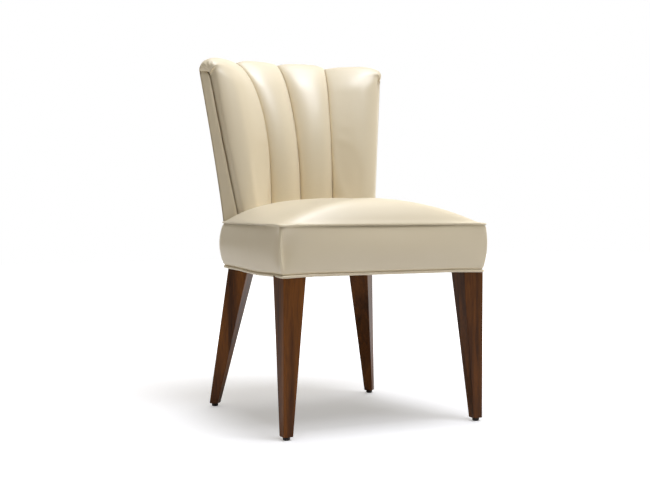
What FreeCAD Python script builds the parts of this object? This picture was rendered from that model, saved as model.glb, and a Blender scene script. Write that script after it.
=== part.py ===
import FreeCAD, Part
import math
import os
import Sketcher

# An armless upholstered chair: a hardwood frame on four tapered legs, a tight crowned seat
# and a concave back of four sewn channels that fan out towards the top. Millimetres.
# The front of the chair faces -Y and the floor is z = 0. Every piece is drawn with y = 0 on
# the front faces of the front legs, and its Placement sets it back by front_face.

Vector = FreeCAD.Vector
doc = FreeCAD.newDocument("UpholsteredChair")

# Driving dimensions
SIZES = [
    # The seat in plan, over the finished sides
    ("front_face", -283.0),
    ("seat_front_width", 493.0),
    ("seat_rear_width", 413.0),
    ("seat_depth", 454.0),
    ("rear_corner_radius", 75.0),
    ("rear_bow", 8.0),
    # The seat frame
    ("rail_inset", 4.5),
    ("rail_thickness", 22.0),
    ("rail_bottom", 340.0),
    ("rail_height", 92.0),
    ("block_height", 45.0),
    ("block_reach", 64.0),
    ("block_clearance", 0.2),
    # The upholstered seat
    ("leather", 1.5),
    ("seam_height", 442.0),
    ("seam_stand", 2.7),
    ("crown_height", 62.0),
    ("crown_fullness", 2.3),
    ("seat_corner_radius", 10.0),
    ("front_bulge", 6.0),
    ("side_bulge", 9.0),
    ("top_welt_diameter", 4.0),
    ("bottom_welt_diameter", 6.4),
    ("strap_width", 50.0),
    ("strap_thickness", 1.2),
    ("straps_lengthways", 4.0),
    ("straps_crossways", 4.0),
    ("dust_cover_thickness", 0.8),
    # Legs, glides and their fasteners
    ("leg_top_width", 50.0),
    ("front_foot_width", 20.5),
    ("rear_leg_width", 47.8),
    ("rear_foot_width", 20.1),
    ("rear_leg_spread", 323.0),
    ("rear_leg_set", 412.0),
    ("rear_foot_spread", 429.0),
    ("rear_foot_set", 457.0),
    ("leg_edge_radius", 1.5),
    ("glide_diameter", 15.5),
    ("glide_height", 7.3),
    ("glide_edge_radius", 2.4),
    ("nail_diameter", 2.4),
    ("nail_length", 22.0),
    ("bolt_diameter", 8.0),
    ("bolt_in_leg", 40.0),
    ("bolt_inset", 39.5),
    ("nut_width", 13.0),
    ("nut_height", 6.5),
    ("washer_diameter", 16.0),
    ("washer_thickness", 1.6),
    # The back in plan at the seat's seam, and how far it moves by lean_top
    ("lean_top", 840.0),
    ("centre_set", 423.0),
    ("centre_lean", 115.0),
    ("centre_bend", 2.4),
    ("middle_spread", 84.0),
    ("middle_flare", 35.0),
    ("middle_flare_bend", 3.8),
    ("middle_set", 414.0),
    ("middle_lean", 103.0),
    ("middle_bend", 3.2),
    ("groove_spread", 181.0),
    ("groove_flare", 55.0),
    ("groove_set", 376.0),
    ("groove_lean", 70.0),
    ("groove_bow", 16.0),
    ("edge_angle", 26.6),
    ("edge_flare", 46.0),
    ("edge_lean", 52.0),
    ("edge_bend", 1.15),
    ("rear_flattening", 0.4),
    ("back_thickening", 5.0),
    # The back's layers
    ("channel_crest", 22.0),
    ("seam_gap", 0.6),
    ("padding", 10.0),
    ("panel_thickness", 4.0),
    ("strip_thickness", 2.5),
    ("frame_top", 806.0),
    ("stile_width", 44.0),
    ("top_rail_height", 44.0),
    ("stuffing_rail_height", 40.0),
    ("pull_through", 22.0),
    ("dowel_diameter", 10.0),
    ("dowel_length", 44.0),
    ("roll_start", 812.0),
    ("roll_height", 34.0),
]

sheet = doc.addObject("Spreadsheet::Sheet", "Sizes")
for row, (alias, value) in enumerate(SIZES, 1):
    sheet.set("A%d" % row, alias.replace("_", " "))
    sheet.set("B%d" % row, str(value))
    sheet.setAlias("B%d" % row, alias)
doc.recompute()


def size(alias):
    return float(sheet.get(alias))


nodes = []


def keep(piece, label):
    """Name a finished sub-part and list it for export."""
    piece.Label = label
    nodes.append(piece)
    return piece


def set_back(piece):
    """Move a piece from the drawing position to the chair's own frame."""
    piece.setExpression("Placement.Base.y", "Sizes.front_face")
    return piece


def shape_piece(label, shape):
    """A sub-part whose solid is made directly, such as a lofted cushion."""
    piece = doc.addObject("Part::Feature", label)
    piece.Shape = shape
    return keep(set_back(piece), label)


def mirrored(source, label):
    """The left-hand twin of a right-hand sub-part."""
    twin = doc.addObject("Part::Mirroring", label)
    twin.Source = source
    twin.Normal = (1, 0, 0)
    return keep(twin, label)


# Sketch and body helpers


def origin_plane(body, role):
    return next(f for f in body.Origin.OriginFeatures if f.Role == role)


def new_body(label):
    body = doc.addObject("PartDesign::Body", label)
    return set_back(body)


def sketch_at(body, name, role="XY_Plane", height=None):
    """An empty sketch on one of the body's origin planes, raised by an expression."""
    sketch = body.newObject("Sketcher::SketchObject", name)
    sketch.AttachmentSupport = (origin_plane(body, role), "")
    sketch.MapMode = "FlatFace"
    if height:
        sketch.setExpression("AttachmentOffset.Base.z", height)
    return sketch


def draw_polygon(sketch, corners):
    """A closed polygon whose corners are pairs of expressions on the sheet."""
    values = [[float(sheet.evalExpression(e)) for e in corner] for corner in corners]
    first, count = sketch.GeometryCount, len(corners)
    for i in range(count):
        start, end = values[i], values[(i + 1) % count]
        sketch.addGeometry(Part.LineSegment(Vector(*start), Vector(*end)))
    for i in range(count):
        line, following = first + i, first + (i + 1) % count
        sketch.addConstraint(Sketcher.Constraint("Coincident", line, 2, following, 1))
    for i, corner in enumerate(corners):
        for axis, kind in enumerate(("DistanceX", "DistanceY")):
            name = "%s%d" % ("xy"[axis], first + i)
            index = sketch.addConstraint(
                Sketcher.Constraint(kind, -1, 1, first + i, 1, values[i][axis]))
            sketch.renameConstraint(index, name)
            sketch.setExpression("Constraints." + name, corner[axis])


def draw_circle(sketch, x, y, diameter):
    """A circle whose centre and diameter are expressions on the sheet."""
    numbers = [float(sheet.evalExpression(e)) for e in (x, y, diameter)]
    circle = sketch.addGeometry(Part.Circle(Vector(numbers[0], numbers[1], 0),
                                            Vector(0, 0, 1), numbers[2] / 2))
    for kind, name, value, formula in (("DistanceX", "cx", numbers[0], x),
                                       ("DistanceY", "cy", numbers[1], y)):
        index = sketch.addConstraint(Sketcher.Constraint(kind, -1, 1, circle, 3, value))
        name = "%s%d" % (name, circle)
        sketch.renameConstraint(index, name)
        sketch.setExpression("Constraints." + name, formula)
    index = sketch.addConstraint(Sketcher.Constraint("Diameter", circle, numbers[2]))
    sketch.renameConstraint(index, "d%d" % circle)
    sketch.setExpression("Constraints.d%d" % circle, diameter)


def pad(body, sketch, length):
    feature = body.newObject("PartDesign::Pad", "Pad")
    feature.Profile = sketch
    feature.setExpression("Length", length)
    return feature


def pocket_down(body, sketch, length):
    """A pocket that cuts towards -Z from the sketch, checked by the volume it removes."""
    doc.recompute()
    before = body.Shape.Volume
    feature = body.newObject("PartDesign::Pocket", "Pocket")
    feature.Profile = sketch
    feature.setExpression("Length", length)
    doc.recompute()
    if feature.Shape.Volume >= before:
        raise RuntimeError("the pocket in %s cuts nothing" % body.Label)
    return feature


# Plan of the seat. All outlines come from one rounded trapezium: front edge, right side, bowed
# rear and left side, with an arc at each corner. grow moves it outwards; the front and the rear
# can grow by different amounts, and the straight edges can swell by a bulge.


def side_x(y, grow=0.0):
    """Half the seat's width at the distance y behind the front face."""
    share = y / size("seat_depth")
    half = size("seat_front_width") * (1 - share) / 2 + size("seat_rear_width") * share / 2
    return half + grow


def edge_circle(start, end, bow, inside):
    """Centre and radius of the arc from start to end that swells by bow away from inside."""
    chord = (end - start).Length
    radius = (chord ** 2 / 4 + bow ** 2) / (2 * bow)
    along = (end - start).normalize()
    outward = Vector(-along.y, along.x, 0)
    if outward.dot((start + end) / 2 - inside) < 0:
        outward = -outward
    return (start + end) / 2 + outward * (bow - radius), radius


def rounding(first, second, corner, radius):
    """Centre of the arc of this radius that touches both circles from inside, near a corner."""
    (c1, r1), (c2, r2) = first, second
    r1, r2 = r1 - radius, r2 - radius
    gap = (c2 - c1).Length
    along = (c2 - c1).normalize()
    reach = (gap ** 2 + r1 ** 2 - r2 ** 2) / (2 * gap)
    rise = math.sqrt(r1 ** 2 - reach ** 2)
    across = Vector(-along.y, along.x, 0)
    choices = [c1 + along * reach + across * rise, c1 + along * reach - across * rise]
    return min(choices, key=lambda p: (p - corner).Length)


def outline_arcs(z, front=0.0, rear=None, bulge=(0.0, 0.0), radii=None, scale=1.0):
    """The seat's outline as eight tangent arcs, each a start, a middle and an end point."""
    rear = front if rear is None else rear
    depth = size("seat_depth")
    corners = [Vector(side_x(0, front), -front, z), Vector(side_x(depth, rear), depth + rear, z),
               Vector(-side_x(depth, rear), depth + rear, z), Vector(-side_x(0, front), -front, z)]
    inside = Vector(0, depth / 2, z)
    corners = [inside + (c - inside) * scale for c in corners]
    front_radius, rear_radius = radii or (size("seat_corner_radius"),
                                          size("rear_corner_radius") + rear)
    front_bow, side_bow = (max(b, 0.4) for b in bulge)
    bows = [side_bow, max(size("rear_bow") * scale, 0.4), side_bow, front_bow]
    circles = [edge_circle(corners[i], corners[(i + 1) % 4], bows[i], inside) for i in range(4)]
    centres = []
    for i, corner in enumerate(corners):
        radius = front_radius if i in (0, 3) else rear_radius
        centres.append((rounding(circles[i - 1], circles[i], corner, radius), radius))
    arcs = []
    for i, corner in enumerate(corners):
        centre, radius = centres[i]
        ends = []
        for middle, reach in (circles[i - 1], circles[i]):
            ends.append(middle + (centre - middle).normalize() * reach)
        chord_middle = (ends[0] + ends[1]) / 2
        arcs.append((ends[0], centre + (chord_middle - centre).normalize() * radius, ends[1]))
    full = []
    for i in range(4):
        start, end = arcs[i][2], arcs[(i + 1) % 4][0]
        middle, reach = circles[i]
        full.append(arcs[i])
        full.append((start, middle + ((start + end) / 2 - middle).normalize() * reach, end))
    return full


def seat_outline(z, front=0.0, rear=None, bulge=(0.0, 0.0), radii=None, scale=1.0):
    """Closed outline of the seat at height z, grown by front and rear outside the legs' faces."""
    arcs = outline_arcs(z, front, rear, bulge, radii, scale)
    return Part.Wire([Part.Arc(*points).toShape() for points in arcs])


def prism(wire, height):
    return Part.Face(wire).extrude(Vector(0, 0, height))


def loft(wires):
    return Part.makeLoft(wires, True, False)


rail_top = size("rail_bottom") + size("rail_height")
frame_inset = -size("rail_inset")
rail_inner = frame_inset - size("rail_thickness")
leg_top = size("rail_bottom") - size("dust_cover_thickness")

# Seat frame


def make_front_rail():
    body = new_body("seat_front_rail")
    slope = "(Sizes.seat_front_width - Sizes.seat_rear_width) / 2 / Sizes.seat_depth"
    half = "Sizes.seat_front_width / 2 - Sizes.rail_inset - %s * (%s)"
    near = "Sizes.rail_inset"
    far = "Sizes.rail_inset + Sizes.rail_thickness"
    near_half = half % (slope, near)
    far_half = half % (slope, far)
    sketch = sketch_at(body, "RailPlan", height="Sizes.rail_bottom")
    draw_polygon(sketch, [("-(%s)" % near_half, near), (near_half, near),
                          (far_half, far), ("-(%s)" % far_half, far)])
    pad(body, sketch, "Sizes.rail_height")
    return keep(body, "seat_front_rail")


def make_side_rail():
    body = new_body("seat_right_rail")
    slope = "(Sizes.seat_front_width - Sizes.seat_rear_width) / 2 / Sizes.seat_depth"
    outer = "Sizes.seat_front_width / 2 - Sizes.rail_inset - %s * (%s)"
    near = "Sizes.rail_inset + Sizes.rail_thickness"
    far = "Sizes.seat_depth - Sizes.rear_corner_radius"
    sketch = sketch_at(body, "RailPlan", height="Sizes.rail_bottom")
    near_outer = outer % (slope, near)
    far_outer = outer % (slope, far)
    draw_polygon(sketch, [(near_outer, near), (far_outer, far),
                          (far_outer + " - Sizes.rail_thickness", far),
                          (near_outer + " - Sizes.rail_thickness", near)])
    pad(body, sketch, "Sizes.rail_height")
    return keep(body, "seat_right_rail")


def dowel_places():
    """Two dowels under each post of the back, on the middle line of the bent rear rail."""
    corner = Part.Arc(*outline_arcs(rail_top, frame_inset - size("rail_thickness") / 2)[2])
    curve = corner.toShape().Curve
    right = []
    for angle in (30, 65):
        turn = math.radians(angle)
        right.append((curve.Center.x + curve.Radius * math.cos(turn),
                      curve.Center.y + curve.Radius * math.sin(turn)))
    return right + [(-x, y) for x, y in right]


def make_dowel(x, y):
    length = size("dowel_length")
    return Part.makeCylinder(size("dowel_diameter") / 2, length, Vector(x, y, rail_top - length / 2))


def make_rear_rail():
    """One bent rail that runs round both rear corners, from side rail to side rail."""
    start = size("seat_depth") - size("rear_corner_radius")
    outer = prism(seat_outline(size("rail_bottom"), frame_inset), size("rail_height"))
    inner = prism(seat_outline(size("rail_bottom"), rail_inner), size("rail_height"))
    reach = size("seat_front_width")
    rear_half = Part.makeBox(2 * reach, reach, size("rail_height"),
                             Vector(-reach, start, size("rail_bottom")))
    rail = outer.cut(inner).common(rear_half)
    return shape_piece("seat_rear_rail", rail.cut([make_dowel(x, y) for x, y in dowel_places()]))


def make_front_block():
    """Corner block behind the front rail, drilled for the leg bolt."""
    body = new_body("front_right_corner_block")
    slope = "(Sizes.seat_front_width - Sizes.seat_rear_width) / 2 / Sizes.seat_depth"
    inside = "Sizes.rail_inset + Sizes.rail_thickness"
    side = "Sizes.seat_front_width / 2 - (%s) - Sizes.block_clearance - %s * (%s)"
    near = inside + " + Sizes.block_clearance"
    far = near + " + Sizes.block_reach"
    end = "%s - Sizes.block_reach / 4"
    near_side = side % (inside, slope, near)
    far_side = side % (inside, slope, far)
    sketch = sketch_at(body, "BlockPlan", height="Sizes.rail_bottom")
    draw_polygon(sketch, [(near_side, near), (far_side, far), (end % far_side, far),
                          (near_side + " - Sizes.block_reach", near + " + Sizes.block_reach / 4"),
                          (near_side + " - Sizes.block_reach", near)])
    pad(body, sketch, "Sizes.block_height")
    hole = sketch_at(body, "BoltHole", height="Sizes.rail_bottom + Sizes.block_height")
    draw_circle(hole, "Sizes.seat_front_width / 2 - Sizes.bolt_inset", "Sizes.bolt_inset",
                "Sizes.bolt_diameter + 0.4")
    pocket_down(body, hole, "Sizes.block_height + 1")
    return keep(body, "front_right_corner_block")


def make_rear_block():
    """Corner block that fills the bent rear corner, drilled for the leg bolt."""
    x, y = size("rear_leg_spread") / 2, size("rear_leg_set")
    reach, bottom, height = size("block_reach"), size("rail_bottom"), size("block_height")
    inside = prism(seat_outline(bottom, rail_inner - size("block_clearance")), height)
    corner = Vector(x + reach, y + reach, bottom)
    plan = [corner, Vector(x - reach, y + reach, bottom), Vector(x - reach, y + reach / 6, bottom),
            Vector(x + reach / 6, y - reach, bottom), Vector(x + reach, y - reach, bottom), corner]
    block = prism(Part.makePolygon(plan), height).common(inside)
    hole = Part.makeCylinder(size("bolt_diameter") / 2 + 0.2, height, Vector(x, y, bottom))
    return shape_piece("rear_right_corner_block", block.cut(hole))


# Legs, glides and fasteners


def leg_profile(body, name, role, top, foot, outside=0.0):
    """One side view of a tapered leg, as a pair of edges at the top and at the foot.
    With outside, the wedges beyond the edges are drawn instead, to be cut away."""
    top_z = "(Sizes.rail_bottom - Sizes.dust_cover_thickness)"
    foot_z = "Sizes.glide_height"
    sketch = sketch_at(body, name, role)
    if not outside:
        draw_polygon(sketch, [(foot[0], foot_z), (foot[1], foot_z), (top[1], top_z), (top[0], top_z)])
        return sketch
    for low, high, sign in ((foot[0], top[0], "-"), (foot[1], top[1], "+")):
        far = "%s %s %g" % (high, sign, outside)
        draw_polygon(sketch, [(low, foot_z), (far, foot_z), (far, top_z), (high, top_z)])
    return sketch


def tapered_leg(body, across, back):
    """A leg with flat faces: one side view is padded and the other cuts the pad to shape."""
    profile = leg_profile(body, "FrontView", "XZ_Plane", *across)
    wide = pad(body, profile, "4 * Sizes.seat_depth")
    wide.Midplane = True
    wedges = leg_profile(body, "SideView", "YZ_Plane", *back, outside=2000.0)
    doc.recompute()
    cut = body.newObject("PartDesign::Pocket", "Taper")
    cut.Profile = wedges
    cut.setExpression("Length", "4 * Sizes.seat_depth")
    cut.Midplane = True
    doc.recompute()
    edges = ["Edge%d" % (i + 1) for i, edge in enumerate(cut.Shape.Edges)
             if edge.BoundBox.ZMin < size("glide_height") + 1]
    eased = body.newObject("PartDesign::Fillet", "EasedEdges")
    eased.Base = (cut, edges)
    eased.setExpression("Radius", "Sizes.leg_edge_radius")


def drill_leg(body, bolt, foot):
    """The bolt's hole in the top of a leg and the nail's hole in its foot."""
    hole = sketch_at(body, "BoltHole", height="Sizes.rail_bottom - Sizes.dust_cover_thickness")
    draw_circle(hole, bolt[0], bolt[1], "Sizes.bolt_diameter")
    pocket_down(body, hole, "Sizes.bolt_in_leg")
    nail = sketch_at(body, "NailHole", height="Sizes.nail_length + Sizes.glide_edge_radius")
    draw_circle(nail, foot[0], foot[1], "Sizes.nail_diameter")
    pocket_down(body, nail, "Sizes.nail_length")


def make_front_leg():
    """Outer faces upright and in line with the seat; inner and rear faces taper."""
    body = new_body("front_right_leg")
    outer = "Sizes.seat_front_width / 2"
    widths = ("Sizes.leg_top_width", "Sizes.front_foot_width")
    across = [(outer + " - " + width, outer) for width in widths]
    back = [("0", width) for width in widths]
    tapered_leg(body, across, back)
    middle = "Sizes.front_foot_width / 2"
    drill_leg(body, (outer + " - Sizes.bolt_inset", "Sizes.bolt_inset"),
              (outer + " - " + middle, middle))
    return keep(body, "front_right_leg")


def make_rear_leg():
    """A square leg turned 45 degrees, splayed outwards and backwards. Its body is turned about
    the origin, so that its faces lie along the body's own axes."""
    body = new_body("rear_right_leg")
    body.Placement = FreeCAD.Placement(Vector(0, 0, 0), FreeCAD.Rotation(Vector(0, 0, 1), 45))
    ends = (("Sizes.rear_leg_spread", "Sizes.rear_leg_set", "Sizes.rear_leg_width"),
            ("Sizes.rear_foot_spread", "Sizes.rear_foot_set", "Sizes.rear_foot_width"))
    across, back, centres = [], [], []
    for spread, set_back, width in ends:
        turned_x = "(%s + %s / 2) / sqrt(2)" % (set_back, spread)
        turned_y = "(%s - %s / 2) / sqrt(2)" % (set_back, spread)
        half = "%s / 2" % width
        across.append((turned_x + " - " + half, turned_x + " + " + half))
        back.append((turned_y + " - " + half, turned_y + " + " + half))
        centres.append((turned_x, turned_y))
    tapered_leg(body, across, back)
    drill_leg(body, centres[0], centres[1])
    return keep(body, "rear_right_leg")


FOOT_PLACES = {
    "front_right": ("Sizes.seat_front_width / 2 - Sizes.front_foot_width / 2",
                    "Sizes.front_foot_width / 2"),
    "rear_right": ("Sizes.rear_foot_spread / 2", "Sizes.rear_foot_set"),
}
BOLT_PLACES = {
    "front_right": ("Sizes.seat_front_width / 2 - Sizes.bolt_inset", "Sizes.bolt_inset"),
    "rear_right": ("Sizes.rear_leg_spread / 2", "Sizes.rear_leg_set"),
}


def value(expression):
    return float(sheet.evalExpression(expression))


def four_places(places):
    """Both right-hand places and their mirror images."""
    right = [(value(x), value(y)) for x, y in places.values()]
    return right + [(-x, y) for x, y in right]


def make_glide(corner):
    """A round glide with a rounded lower edge and a recess for the nail's head."""
    body = doc.addObject("PartDesign::Body", corner + "_glide")
    x, y = FOOT_PLACES[corner]
    body.setExpression("Placement.Base.x", x)
    body.setExpression("Placement.Base.y", "Sizes.front_face + " + y)
    plan = sketch_at(body, "Round")
    draw_circle(plan, "0", "0", "Sizes.glide_diameter")
    pad(body, plan, "Sizes.glide_height")
    recess = sketch_at(body, "HeadRecess", height="Sizes.glide_edge_radius")
    draw_circle(recess, "0", "0", "Sizes.nail_diameter * 2.4")
    pocket_down(body, recess, "Sizes.glide_edge_radius")
    shank = sketch_at(body, "ShankHole", height="Sizes.glide_height")
    draw_circle(shank, "0", "0", "Sizes.nail_diameter")
    pocket_down(body, shank, "Sizes.glide_height")
    tip = body.Tip
    rim = ["Edge%d" % (i + 1) for i, edge in enumerate(tip.Shape.Edges)
           if edge.BoundBox.ZMax < 0.01 and edge.BoundBox.XLength > 0.9 * size("glide_diameter")]
    fillet = body.newObject("PartDesign::Fillet", "LowerEdge")
    fillet.Base = (tip, rim)
    fillet.setExpression("Radius", "Sizes.glide_edge_radius")
    return keep(body, corner + "_glide")


def group_piece(label, solids):
    """Identical small pieces that share one node."""
    return shape_piece(label, Part.makeCompound(solids))


def make_nail(x, y):
    radius = size("nail_diameter") / 2
    head_top = size("glide_edge_radius")
    head = Part.makeCylinder(radius * 2.2, head_top / 2, Vector(x, y, head_top / 2))
    shank = Part.makeCylinder(radius, size("nail_length"), Vector(x, y, head_top))
    return head.fuse(shank)


def make_bolt(x, y):
    start = leg_top - size("bolt_in_leg")
    end = (size("rail_bottom") + size("block_height") + size("washer_thickness")
           + size("nut_height") + size("bolt_diameter") / 2)
    return Part.makeCylinder(size("bolt_diameter") / 2, end - start, Vector(x, y, start))


def make_washer(x, y):
    base = Vector(x, y, size("rail_bottom") + size("block_height"))
    disc = Part.makeCylinder(size("washer_diameter") / 2, size("washer_thickness"), base)
    return disc.cut(Part.makeCylinder(size("bolt_diameter") / 2, size("washer_thickness"), base))


def make_nut(x, y):
    base = size("rail_bottom") + size("block_height") + size("washer_thickness")
    reach = size("nut_width") / math.sqrt(3)
    corners = [Vector(x + reach * math.cos(math.radians(60 * k)),
                      y + reach * math.sin(math.radians(60 * k)), base) for k in range(7)]
    hexagon = prism(Part.makePolygon(corners), size("nut_height"))
    bore = Part.makeCylinder(size("bolt_diameter") / 2, size("nut_height"), Vector(x, y, base))
    return hexagon.cut(bore)


# Seat upholstery


def seat_straps():
    """Webbing on top of the rails: straps front to back, and straps side to side above them."""
    width, thick = size("strap_width"), size("strap_thickness")
    grip = size("rail_thickness") * 0.8
    front = size("rail_inset") + size("rail_thickness") - grip
    back = size("seat_depth") + frame_inset - 4
    count = int(size("straps_lengthways"))
    pitch = 2 * (side_x(size("seat_depth")) - size("rear_corner_radius")) / (count - 0.4)
    lengthways = []
    for k in range(count):
        x = (k - (count - 1) / 2) * pitch - width / 2
        lengthways.append(Part.makeBox(width, back - front, thick, Vector(x, front, rail_top)))
    count = int(size("straps_crossways"))
    start = size("rail_inset") + size("rail_thickness")
    pitch = (size("seat_depth") - size("rear_corner_radius") - start) / count
    crossways = []
    for k in range(count):
        y = start + (k + 0.5) * pitch - width / 2
        half = side_x(y + width, rail_inner) + grip
        crossways.append(Part.makeBox(2 * half, width, thick, Vector(-half, y, rail_top + thick)))
    group_piece("webbing_lengthways", lengthways)
    group_piece("webbing_crossways", crossways)


def crown_sections(grow, lift, drop):
    """Outlines up the crowned seat top; grow and drop set the face of leather or foam."""
    n = size("crown_fullness")
    sections = []
    for share in (0.0, 0.22, 0.42, 0.6, 0.76, 0.88, 0.96):
        scale = (1 - share ** n) ** (1 / n)
        soft = 1 - scale
        front_radius = (size("seat_corner_radius") + 160 * soft) * scale + 4 * soft
        rear_radius = (size("rear_corner_radius") + 40 * soft) * scale
        z = lift + (size("crown_height") - drop) * share
        sections.append(seat_outline(z, grow, grow, (3 + 12 * soft, 2 + 10 * soft),
                                     (front_radius, rear_radius), scale))
    return sections


def band_sections(grow, bottom, top):
    """Outlines up the seat band: drawn in at both welts and swelling between them."""
    sections = []
    for share in (0.0, 0.25, 0.5, 0.75, 1.0):
        swell = math.sin(math.pi * share)
        z = bottom + (top - bottom) * share
        stand = grow + 0.6 + (size("seam_stand") - 0.6) * share
        sections.append(seat_outline(z, stand + 2.0 * swell, stand + size("side_bulge") * swell,
                                     (1 + size("front_bulge") * swell, 1 + 3 * swell)))
    return sections


welt_gap = 0.2
bottom_welt_z = leg_top + welt_gap + size("bottom_welt_diameter") / 2
band_bottom = bottom_welt_z + size("bottom_welt_diameter") / 2 + welt_gap
band_top = size("seam_height") - size("top_welt_diameter") / 2 - welt_gap
top_cover_bottom = size("seam_height") + size("top_welt_diameter") / 2 + welt_gap
foam_bottom = rail_top + 2 * size("strap_thickness")
inner_face = size("seam_stand") - size("leather")


def welt(z, grow, diameter, label, corner):
    """A round piping along the seat's outline, joined at the middle of the rear."""
    arcs = outline_arcs(z, grow, radii=(corner, size("rear_corner_radius") + grow))
    start, middle, end = arcs[3]
    rear = Part.Arc(start, middle, end)
    quarter = (rear.LastParameter - rear.FirstParameter) / 4
    first = Part.Arc(middle, rear.value(rear.LastParameter - quarter), end)
    last = Part.Arc(start, rear.value(rear.FirstParameter + quarter), middle)
    path = [first] + [Part.Arc(*points) for points in arcs[4:] + arcs[:3]] + [last]
    spine = Part.Wire([arc.toShape() for arc in path])
    circle = Part.Circle(middle, first.tangent(first.FirstParameter)[0], diameter / 2)
    tube = spine.makePipeShell([Part.Wire([circle.toShape()])], True, True)
    return shape_piece(label, tube)


# The back in plan. share is 0 at the seat's seam and 1 at the top of the lean.


def share_of(z):
    return (z - size("seam_height")) / (size("lean_top") - size("seam_height"))


def bend(z, power):
    return max(share_of(z), 0.0) ** size(power)


def circle_y(x, x_end, y_end, y_middle):
    """Distance back of the arc through both ends and the middle, at x."""
    sag = y_middle - y_end
    radius = (x_end ** 2 + sag ** 2) / (2 * sag)
    return y_middle - radius + math.sqrt(radius ** 2 - x ** 2)


def valley(index, z):
    """Seam lines of the channels: 0 and 4 are the side grooves, 2 is the centre."""
    side = (-1, -1, 0, 1, 1)[index]
    share = share_of(z)
    if index == 2:
        x, y = 0, size("centre_set") + size("centre_lean") * bend(z, "centre_bend")
    elif index in (1, 3):
        x = size("middle_spread") + size("middle_flare") * bend(z, "middle_flare_bend")
        y = size("middle_set") + size("middle_lean") * bend(z, "middle_bend")
    else:
        x = size("groove_spread") + size("groove_flare") * share
        y = (size("groove_set") + size("groove_lean") * share
             + size("groove_bow") * share * (1 - share))
    return Vector(side * x, y, z)


def seat_rear_corner():
    """Centre and radius of the seam's arc at the right-hand rear corner, and the rear's set."""
    arcs = outline_arcs(0.0, size("seam_stand"))
    corner = Part.Arc(*arcs[2]).toShape().Curve
    return corner.Center, corner.Radius, arcs[3][1].y


def rear_edge(z):
    """Rear corner of the right-hand end face, which stands on the seat's seam."""
    centre, radius, _ = seat_rear_corner()
    angle = math.radians(size("edge_angle"))
    moved = bend(z, "edge_bend")
    return Vector(centre.x + radius * math.cos(angle) + size("edge_flare") * moved,
                  centre.y + radius * math.sin(angle) + size("edge_lean") * moved, z)


def rear_circles(z, inset=0.0):
    """The outside back in plan: a corner circle, the wide circle behind, and where they meet."""
    share = max(share_of(z), 0.0)
    angle = math.radians(size("edge_angle"))
    _, radius, set_back = seat_rear_corner()
    middle = (set_back + size("centre_lean") * bend(z, "centre_bend")
              + size("back_thickening") * share)
    roundness = radius / (set_back - rear_edge(0).y) * (1 - size("rear_flattening") * share)
    radius = (middle - rear_edge(z).y) * roundness
    corner = rear_edge(z) - Vector(math.cos(angle), math.sin(angle), 0) * radius
    drop = corner.y - middle
    wide = (radius ** 2 - corner.x ** 2 - drop ** 2) / (2 * (drop + radius))
    centre = Vector(0, middle - wide, z)
    joint = centre + (corner - centre).normalize() * (wide - inset)
    return corner, radius - inset, centre, wide - inset, joint


def rear_y(x, z, inset=0.0):
    """Outside back face at x, moved forwards by inset."""
    corner, radius, centre, wide, joint = rear_circles(z, inset)
    if abs(x) <= joint.x:
        return centre.y + math.sqrt(wide ** 2 - x ** 2)
    return corner.y + math.sqrt(max(radius ** 2 - (abs(x) - corner.x) ** 2, 0.0))


def rear_point(index, z):
    """The outside back behind each seam line."""
    if index in (0, 4):
        edge = rear_edge(z)
        return Vector(edge.x * (1 if index == 4 else -1), edge.y, z)
    seam = valley(index, z)
    x = seam.x * 1.1
    return Vector(x, rear_y(x, z), z)


def front_y(x, z, depth):
    """An arc behind the seam lines by depth, through the centre and both ends."""
    end = end_point(z, depth)
    return circle_y(x, end.x, end.y, valley(2, z).y + depth)


def end_normal(z):
    """Outward direction of the right-hand end face."""
    along = (rear_edge(z) - valley(4, z)).normalize()
    return Vector(along.y, -along.x, 0)


def end_point(z, depth):
    """A point on the right-hand end of the frame, behind the groove by depth."""
    groove = valley(4, z)
    along = (rear_edge(z) - groove).normalize()
    return groove + along * depth - end_normal(z) * (size("strip_thickness") + 0.15)


def rear_end(z, inset, strip=True):
    """Where the right-hand end face of the frame meets the rear face moved in by inset."""
    corner, radius, _, _, _ = rear_circles(z, inset)
    groove = valley(4, z)
    along = (rear_edge(z) - groove).normalize()
    start = groove - end_normal(z) * (size("strip_thickness") + 0.15 if strip else 0.0)
    offset = start - corner
    run = along.dot(offset)
    return start + along * (-run + math.sqrt(run ** 2 - offset.dot(offset) + radius ** 2))


def on_circle(centre, radius, first, second):
    """The middle of the arc between two points on a circle."""
    return centre + ((first + second) / 2 - centre).normalize() * radius


def plan_loop(points, middles):
    """A closed plan of edges: an arc where a middle point is given, else a line."""
    edges = []
    for i, start in enumerate(points):
        end = points[(i + 1) % len(points)]
        if middles[i] is None:
            edges.append(Part.LineSegment(start, end).toShape())
        else:
            edges.append(Part.Arc(start, middles[i], end).toShape())
    return Part.Wire(edges)


def back_levels():
    """Heights at which all sections of the back are drawn, so that its layers stay parallel."""
    bottom, top, spans = rail_top - 8, size("roll_start"), 7
    return [bottom + (top - bottom) * k / spans for k in range(spans + 1)]


def back_layer(section, bottom, top):
    """A layer of the back, lofted over its whole height and trimmed between two levels."""
    reach = 4 * size("seat_depth")
    slab = Part.makeBox(2 * reach, 2 * reach, top - bottom, Vector(-reach, -reach, bottom))
    return loft([section(z) for z in back_levels()]).common(slab)


frame_front = size("padding") + size("panel_thickness")
post_bottom = rail_top
stuffing_bottom = rail_top + size("pull_through")
stuffing_top = stuffing_bottom + size("stuffing_rail_height")
top_rail_bottom = size("frame_top") - size("top_rail_height")
rear_inset = size("leather") + 0.6


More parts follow.
